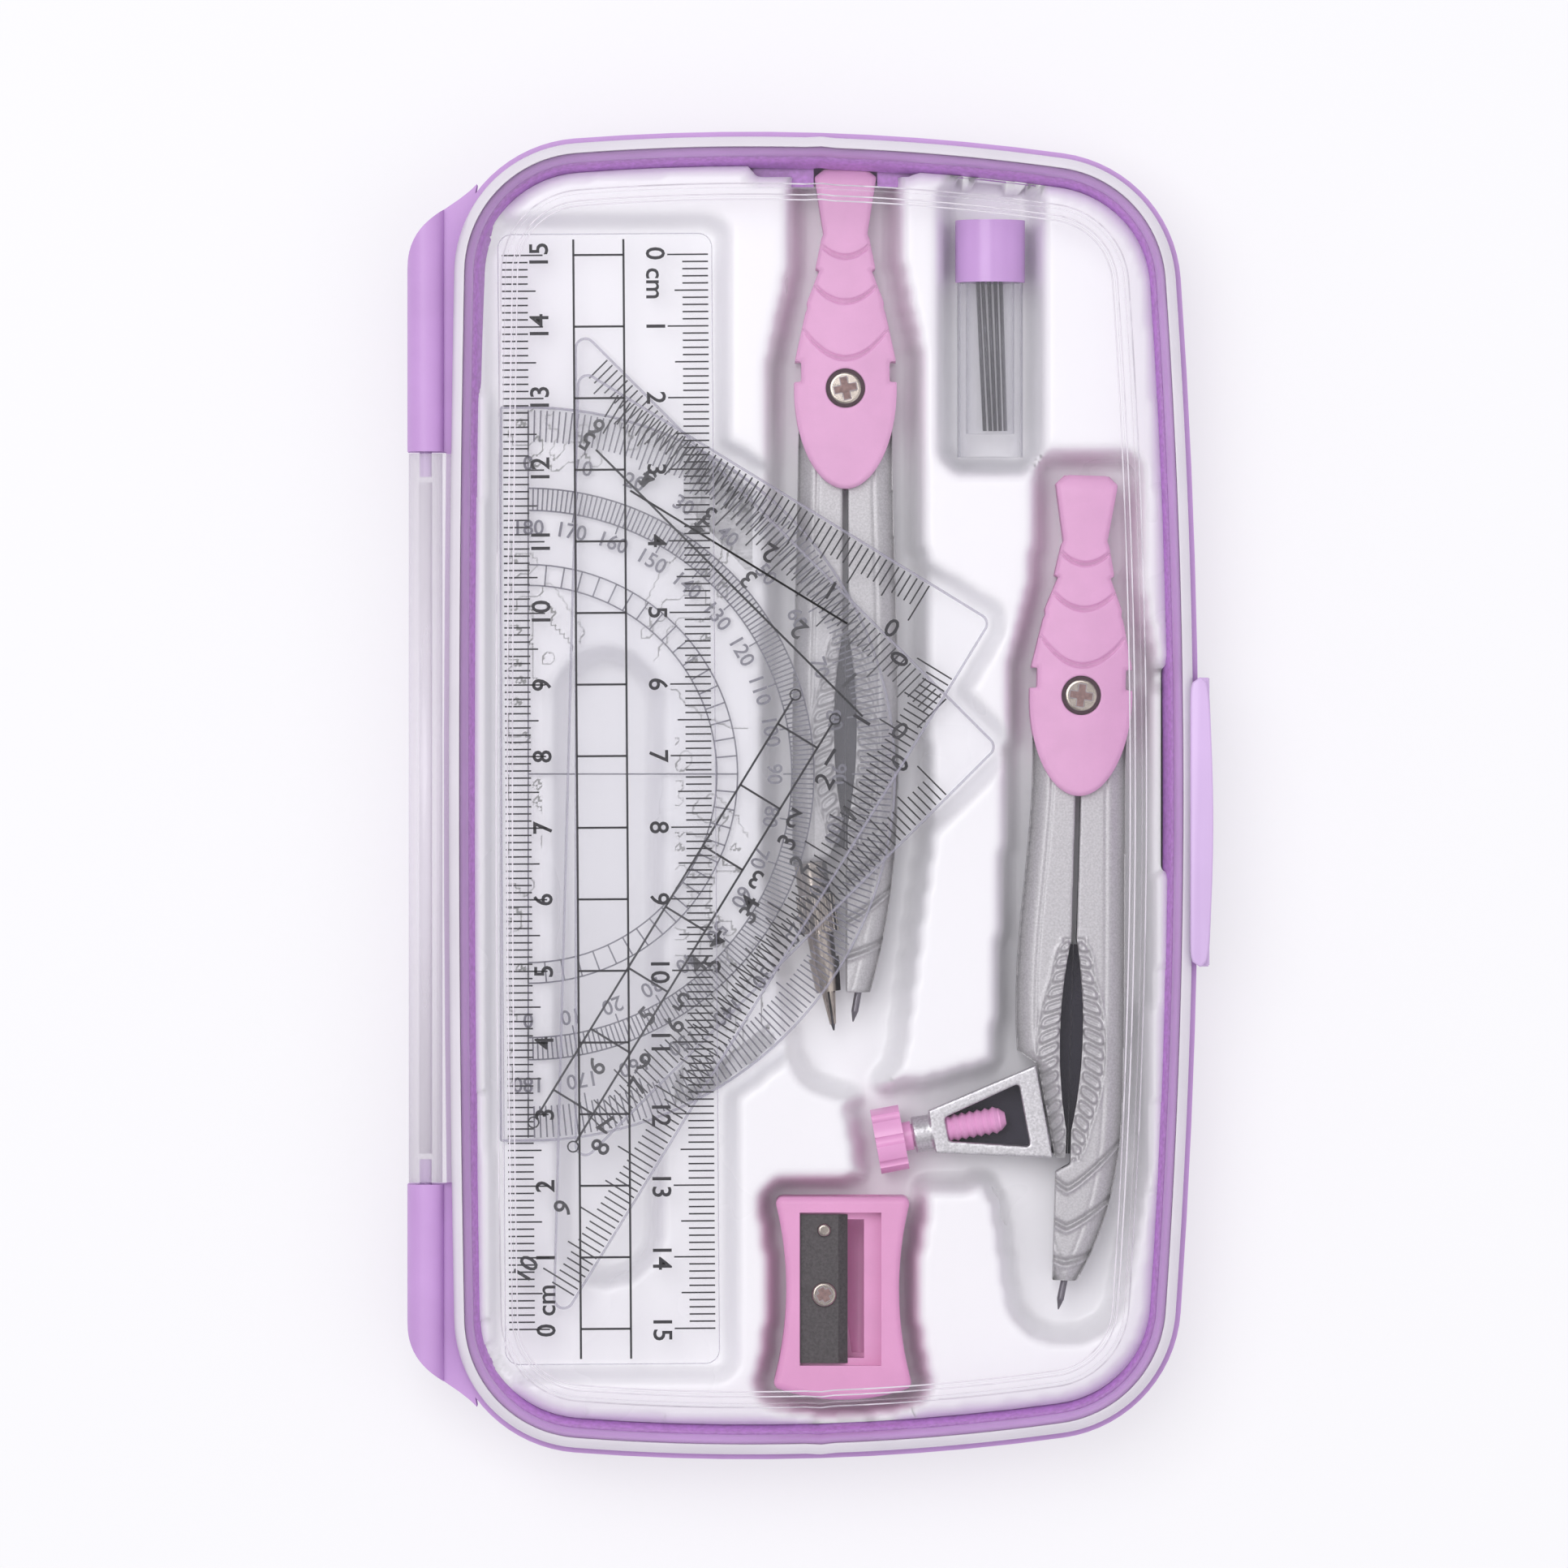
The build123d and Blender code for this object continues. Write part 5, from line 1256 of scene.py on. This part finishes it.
class LegSurface:
    """The height of the relief on a leg, from the compass's own axes."""

    split = 0.35 * MM
    eye_top, eye_bottom, eye_half = -39.8 * MM, -60.7 * MM, 1.25 * MM
    lip_drop, inner_reach = 0.75 * MM, 0.45 * MM
    # the dark web under the eye, which is painted shade
    web_rise, web_thick, web_steps = 0.6 * MM, 0.3 * MM, 12
    web_split, web_half = 0.04 * MM, 2.3 * MM
    fallback_width = 6 * MM
    # the leaf of ribs round the eye
    rib_top, rib_bottom, rib_over = -34.9 * MM, -64.3 * MM, 1.06
    rib_slope, slope_turn = 26, 14
    least_rib, rib_core = 0.35, 0.35
    leaf_border, border_width = 0.3 * MM, 0.25 * MM
    leaf_edge, leaf_end, first_rib = 0.2 * MM, 0.7 * MM, 0.15 * MM
    pad_edge, pad_ease, dish_ease = 0.06 * MM, 0.22 * MM, 0.2 * MM
    leaf_depth, dish_depth, border_rise = 0.4, 0.45, 0.3
    # the grooves round the foot: height at the middle and rise to the side, in millimetres
    grooves = ((-68.9, 6.9), (-74.4, 5.4), (-79.3, 3.0))
    foot_top, foot_half, groove_curve = -62 * MM, 7.4 * MM, 1.25
    groove_width, lip_width, lip_above, lip_rise = 0.32 * MM, 0.3 * MM, 0.75 * MM, 0.55
    crease_depth, crease_width = 0.16 * MM, 0.22 * MM

    def __init__(self, relief, bm, form, has_foot):
        self.relief = relief
        self.has_foot = has_foot
        spots = [form.from_frame @ vert.co for vert in bm.verts]
        self.lip = max(spot.z for spot in spots) - self.lip_drop
        self.widths = {}
        for spot in spots:
            row = round(spot.y / MM)
            self.widths[row] = max(self.widths.get(row, 0.0), abs(spot.x))

    def outer(self, y):
        """Half width of the leg at a height, between the rows that were measured."""
        row = y / MM
        base = math.floor(row)
        a = self.widths.get(base, self.fallback_width)
        b = self.widths.get(base + 1, a)
        return a + (b - a) * (row - base)

    def share(self, y, top, bottom):
        """How far a height lies from the middle between two ends, which are 1 and -1."""
        return (y - (top + bottom) / 2) / ((top - bottom) / 2)

    def eye(self, y):
        """Half width of the gap between the legs."""
        share = self.share(y, self.eye_top, self.eye_bottom)
        return self.split + self.eye_half * max(0.0, 1 - share ** 2)

    def ribs(self, x, y):
        """Raised capsules in a sunk leaf round the eye, sloping down and outwards."""
        share = self.share(y, self.rib_top, self.rib_bottom)
        across = abs(x) - self.eye(y)
        if abs(share) > self.rib_over or across < 0:
            return 0.0
        bow = math.sqrt(max(0.0, 1 - share ** 2))
        reach = self.relief.rib_length * (self.least_rib + (1 - self.least_rib) * bow)
        if across > reach + self.leaf_end:
            return 0.0
        pitch = self.relief.rib_pitch
        slope = math.tan(math.radians(self.rib_slope - self.slope_turn * share))
        row = (y + across * slope) / pitch
        centre = (row - math.floor(row) - 0.5) * pitch
        core = self.rib_core * pitch
        past = max(0.0, across - (reach - core), core + self.first_rib - across)
        away = math.hypot(centre, past)
        pad = clamp((core + self.pad_edge - away) / self.pad_ease)
        dish = clamp((core * 0.5 - away) / self.dish_ease)
        border = bump(across - reach - self.leaf_border, self.border_width)
        sunk = self.leaf_depth if across <= reach + self.leaf_edge else 0.0
        return self.relief.rib_height * (pad * (1 + sunk) - sunk - self.dish_depth * dish
                                         + self.border_rise * border)

    def foot(self, x, y):
        """Curved grooves with a raised lip that cross the foot."""
        total = 0.0
        for start, rise in self.grooves:
            off = y - (start + rise * (abs(x) / self.foot_half) ** self.groove_curve) * MM
            total -= bump(off, self.groove_width)
            total += self.lip_rise * bump(off + self.lip_above, self.lip_width)
        return total * self.relief.groove_depth

    def edge(self, x, y):
        """The rounded outer edge and the crease that sets it off."""
        inward = self.outer(y) - abs(x)
        share = max(0.0, 1 - inward / self.relief.edge_width)
        crease = bump(inward - self.relief.edge_width, self.crease_width)
        return -self.relief.edge_drop * share ** 2 - self.crease_depth * crease

    def height(self, x, y):
        """How far the surface stands above the plain leg."""
        total = self.ribs(x, y) + self.edge(x, y)
        if self.has_foot and y < self.foot_top:
            total += self.foot(x, y)
        return total


class DRAFT_OT_legs(Operator):
    """Moulds ribs, grooves and rounded edges into the compass legs"""
    bl_idname = "draft.legs"
    bl_label = "Compass legs"

    facing, steep = 0.35, 0.6
    legs = ((0, "lead_compass_needle_leg", True), (0, "lead_compass_lead_leg", False),
            (1, "pencil_compass_needle_leg", True), (1, "pencil_compass_holder_leg", False))

    def execute(self, context):
        relief = context.scene.draft_relief
        for index, node, has_foot in self.legs:
            self.mould(COMPASSES[index], node, relief, has_foot)
        return {"FINISHED"}

    def mould(self, form, node, relief, has_foot):
        """A leg with its ribs, grooves and eased edges."""
        bm = remeshed(copy_node(node), relief.voxel)
        soften(bm, 1)
        surface = LegSurface(relief, bm, form, has_foot)
        bm.normal_update()
        moves = []
        for vert in bm.verts:
            if abs(vert.normal.z) > self.facing:
                spot = form.from_frame @ vert.co
                side = 1 if vert.normal.z > 0 else -1
                moves.append((vert, side * surface.height(spot.x, spot.y)))
        for vert, move in moves:
            vert.co.z += move
        soften(bm, 1, 0.25)
        bm.normal_update()
        # Faces that wall the eye take the dark gap finish, painted shade.
        for face in bm.faces:
            spot = form.from_frame @ face.calc_center_median()
            inner = (abs(spot.x) < surface.eye(spot.y) + surface.inner_reach
                     and spot.z < surface.lip)
            face.material_index = 1 if inner and abs(face.normal.z) < self.steep else 0
        add_piece("moulded_" + node, bm, "silver", node, [node], second="gap")
        self.add_web(form, node, surface)

    def add_web(self, form, node, surface):
        """A dark half web under a leg's side of the eye, painted shade that darkens the eye from
        below.
        """
        spots = [form.from_frame @ vert.co for vert in frame["nodes"][node].data.vertices]
        side = 1 if sum(spot.x for spot in spots) > 0 else -1
        run = surface.rib_top - surface.rib_bottom
        rows = [surface.rib_bottom + run * k / surface.web_steps
                for k in range(surface.web_steps + 1)]
        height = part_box(node)[0].z - form.pivot.z + surface.web_rise
        outline = [(side * surface.web_split, y) for y in rows]
        outline += [(side * surface.web_half, y) for y in reversed(rows)]
        bm = bmesh.new()
        add_slab(bm, [form.to_frame @ Vector((x, y, height)) for x, y in outline],
                 surface.web_thick)
        add_piece("web_" + node, bm, "gap", node, smooth=False)


class DRAFT_OT_heads(Operator):
    """Softens the heads' edges, paints shade into their sunk bands and crowns their faces"""
    bl_idname = "draft.heads"
    bl_label = "Compass heads"

    voxel = 0.16 * MM
    crown, half, face_depth = 1.2 * MM, 7.2 * MM, 2.0 * MM
    bands, level = (0.3 * MM, 0.62 * MM), 0.8
    grip_end, bulb, bulb_drop, narrowing = 30.8 * MM, 2.4 * MM, 1.1 * MM, 0.14

    def shape(self, form, vert, top):
        """Crowns the face and rounds the grip's end down and in."""
        spot = form.from_frame @ vert.co
        near_top = max(0.0, 1 - (top - vert.co.z) / self.face_depth)
        end = max(0.0, (spot.y - self.grip_end + self.bulb) / self.bulb)
        drop = self.crown * (spot.x / self.half) ** 2 + self.bulb_drop * end ** 2
        spot.x *= 1 - self.narrowing * end ** 3
        vert.co = form.to_frame @ spot
        vert.co.z -= near_top * drop

    def execute(self, context):
        for form in COMPASSES:
            node = form.name + "_head_front"
            bm = remeshed(copy_node(node), self.voxel)
            soften(bm, 1)
            bm.normal_update()
            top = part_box(node)[1].z
            # Faces on the sunk bands take the darker groove finish, painted shade.
            for face in bm.faces:
                sunk = top - face.calc_center_median().z
                band = face.normal.z > self.level and self.bands[0] < sunk < self.bands[1]
                face.material_index = 1 if band else 0
            soften(bm, 1)
            for vert in bm.verts:
                self.shape(form, vert, top)
            add_piece("moulded_" + node, bm, "grip", node, [node],
                      second="groove")
        return {"FINISHED"}


# ------------------------------------------------------------------ small hardware
class DRAFT_OT_crosses(Operator):
    """The dull crosses sunk in the screws' heads, painted shade over a lip of painted highlight,
    and the ring of shade round each head
    """
    bl_idname = "draft.crosses"
    bl_label = "Screw crosses"

    # node, index of the screw, reach of its cross and turn of the cross in degrees
    heads = (("pivot_screws", 0, 1.55 * MM, 12.0), ("pivot_screws", 1, 1.55 * MM, -8.0),
             ("sharpener_screws", 0, 1.0 * MM, 30.0))
    # a lip of painted highlight below a cross of painted shade: finish, height in thicknesses and
    # extra width
    layers = {"lip": ("edge", 0.1, 0.13 * MM), "cross": ("recess", 0.9, 0.0)}
    bars = ((0, 1.0, 0), (90, 1.0, 2), (45, 0.5, 1))
    arm = 0.46 * MM
    thickness, layer_step = 0.05 * MM, 0.006 * MM
    shade_in, shade_out, sink, shade_steps = 0.42 * MM, 0.16 * MM, 0.12 * MM, 48
    weld, size_class = 1e-7, 0.2 * MM

    def add_cross(self, bm, spot, reach, arm, degrees):
        """A plus sign with a wider middle, each bar a little above the one before."""
        for turn, share, layer in self.bars:
            lift = Vector((0, 0, self.layer_step * layer))
            size = (2 * reach * share, 2 * arm, self.thickness)
            add_block(bm, spot + lift, size, z_turn(degrees + turn))

    def add_shade(self, bm, centre, low, inner, outer):
        """A flat dark ring that lies over the rounded edge of a head."""
        high = low + self.thickness
        section = [bm.verts.new((centre.x + r, centre.y, z)) for r, z in
                   ((inner, low), (outer, low), (outer, high), (inner, high))]
        face = bm.faces.new(section)
        bmesh.ops.spin(bm, geom=[face, *face.edges, *section], cent=centre, axis=(0, 0, 1),
                       angle=math.tau, steps=self.shade_steps, use_merge=True,
                       use_normal_flip=False)
        inside = [item for item in bm.faces if len(item.verts) == 4
                  and all(abs(vert.co.y - centre.y) < self.weld and vert.co.x > centre.x
                          for vert in item.verts)]
        bmesh.ops.delete(bm, geom=inside, context="FACES_ONLY")
        bmesh.ops.remove_doubles(bm, verts=bm.verts, dist=self.weld)
        bmesh.ops.recalc_face_normals(bm, faces=bm.faces)

    def execute(self, context):
        for node, index, reach, degrees in self.heads:
            centre, top, radius = self.head(node, index)
            for name, (finish, rise, grow) in self.layers.items():
                bm = bmesh.new()
                spot = Vector((centre.x, centre.y, top + self.thickness * rise))
                self.add_cross(bm, spot, reach + grow, self.arm + grow, degrees)
                add_piece(f"{node}_{name}_{index}", bm, finish, node,
                          smooth=False)
            if node == "pivot_screws":
                bm = bmesh.new()
                self.add_shade(bm, centre, top - self.sink, radius - self.shade_in,
                               radius + self.shade_out)
                add_piece(f"{node}_shade_{index}", bm, "ring", node,
                          smooth=False)
        return {"FINISHED"}

    def head(self, node, index):
        """Middle, top and radius of one screw of a node, the larger head first."""
        bm = copy_node(node)
        sizes = []
        left = set(bm.verts)
        while left:
            found = {left.pop()}
            front = list(found)
            while front:
                vert = front.pop()
                linked = {edge.other_vert(vert) for edge in vert.link_edges} - found
                found |= linked
                front.extend(linked)
            left -= found
            low, high = (Vector([pick(vert.co[k] for vert in found) for k in range(3)])
                         for pick in (min, max))
            sizes.append(((low + high) / 2, high.z, (high.x - low.x) / 2))
        bm.free()
        sizes.sort(key=lambda size: (-round(size[2] / self.size_class), size[0].x))
        return sizes[index]


class DRAFT_OT_holder(Operator):
    """Softens the cast pencil holder and paints shade under its window with a dark web"""
    bl_idname = "draft.holder"
    bl_label = "Pencil holder"

    voxel, passes = 0.16 * MM, 3
    # the dark web under the window is painted shade
    web_rise, web_thick = 0.3 * MM, 0.25 * MM
    web_ends = ((1.6 * MM, 5.2 * MM), (14.6 * MM, 2.2 * MM))

    def execute(self, context):
        node = "pencil_holder_frame"
        bm = remeshed(copy_node(node), self.voxel)
        soften(bm, self.passes)
        add_piece("cast_holder", bm, "cast", node, [node])
        self.add_web(node)
        return {"FINISHED"}

    def add_web(self, node):
        """A dark thin sheet under the frame's window, below the thumb screw, painted shade for
        the window's inside.
        """
        joint = JOINTS["pencil_holder_swivel"]
        out = Vector(joint["axis"])
        out *= math.copysign(1, -out.x)
        side = Vector((-out.y, out.x, 0))
        root = Vector(joint["pos_m"])
        root.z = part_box(node)[0].z + self.web_rise
        (near, wide), (far, narrow) = self.web_ends
        bm = bmesh.new()
        add_slab(bm, [root + out * reach + side * half for reach, half in
                      ((near, wide), (near, -wide), (far, -narrow), (far, narrow))],
                 self.web_thick)
        add_piece("holder_web", bm, "gap", node, smooth=False)


class DRAFT_OT_leads(Operator):
    """Loose leads that lie fanned out along the bottom of the tube"""
    bl_idname = "draft.leads"
    bl_label = "Spare leads"

    radius, sides = 0.28 * MM, 16
    bore, end_gap = 3.85 * MM, 0.3 * MM
    spread = ((-1.8, -0.7), (-1.1, 0.1), (-0.2, 0.8), (0.7, 1.5), (1.5, 2.2))

    def execute(self, context):
        low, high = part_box("spare_leads")
        tube_low, tube_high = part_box("lead_tube")
        axis = (tube_low + tube_high) / 2
        reach = self.bore - self.radius
        bm = bmesh.new()
        for far, near in self.spread:
            start, end = (Vector((axis.x + x, y, axis.z - math.sqrt(reach ** 2 - x ** 2)))
                          for x, y in ((far * MM, high.y - self.end_gap),
                                       (near * MM, low.y + self.end_gap)))
            run = end - start
            turn = run.to_track_quat("Z", "Y").to_matrix().to_4x4()
            add_rod(bm, Matrix.Translation((start + end) / 2) @ turn, self.radius,
                    run.length, self.sides)
        add_piece("loose_leads", bm, "lead", "spare_leads", ["spare_leads"])
        return {"FINISHED"}


# ------------------------------------------------------------------ panel and running order
STEPS = (DRAFT_OT_stage, DRAFT_OT_finishes, DRAFT_OT_tray, DRAFT_OT_lid, DRAFT_OT_latch,
         DRAFT_OT_seam, DRAFT_OT_sheets, DRAFT_OT_ruler_scale, DRAFT_OT_square_scales,
         DRAFT_OT_protractor_scale, DRAFT_OT_legs, DRAFT_OT_heads, DRAFT_OT_crosses,
         DRAFT_OT_holder, DRAFT_OT_leads)


class DRAFT_PT_panel(Panel):
    """Lists the steps that dress the case"""
    bl_label = "Drafting Case"
    bl_idname = "DRAFT_PT_panel"
    bl_space_type = "VIEW_3D"
    bl_region_type = "UI"
    bl_category = "Drafting Case"

    def draw(self, context):
        for step in STEPS:
            self.layout.operator(step.bl_idname)


GROUPS = {
    "draft_colours": CaseColours,
    "draft_print": PrintSizes,
    "draft_case": CaseForm,
    "draft_relief": LegRelief,
    "draft_tray": TrayForm,
}


def register():
    """Makes the classes and the scene's settings known to Blender."""
    for item in (*GROUPS.values(), *STEPS, DRAFT_PT_panel):
        bpy.utils.register_class(item)
    for name, group in GROUPS.items():
        setattr(bpy.types.Scene, name, PointerProperty(type=group))


def unregister():
    """Takes the settings and the classes back out."""
    for name in GROUPS:
        delattr(bpy.types.Scene, name)
    for item in reversed((*GROUPS.values(), *STEPS, DRAFT_PT_panel)):
        bpy.utils.unregister_class(item)


def main():
    """Runs every step in order."""
    register()
    for step in STEPS:
        group, name = step.bl_idname.split(".")
        getattr(getattr(bpy.ops, group), name)()


if __name__ == "__main__":
    main()
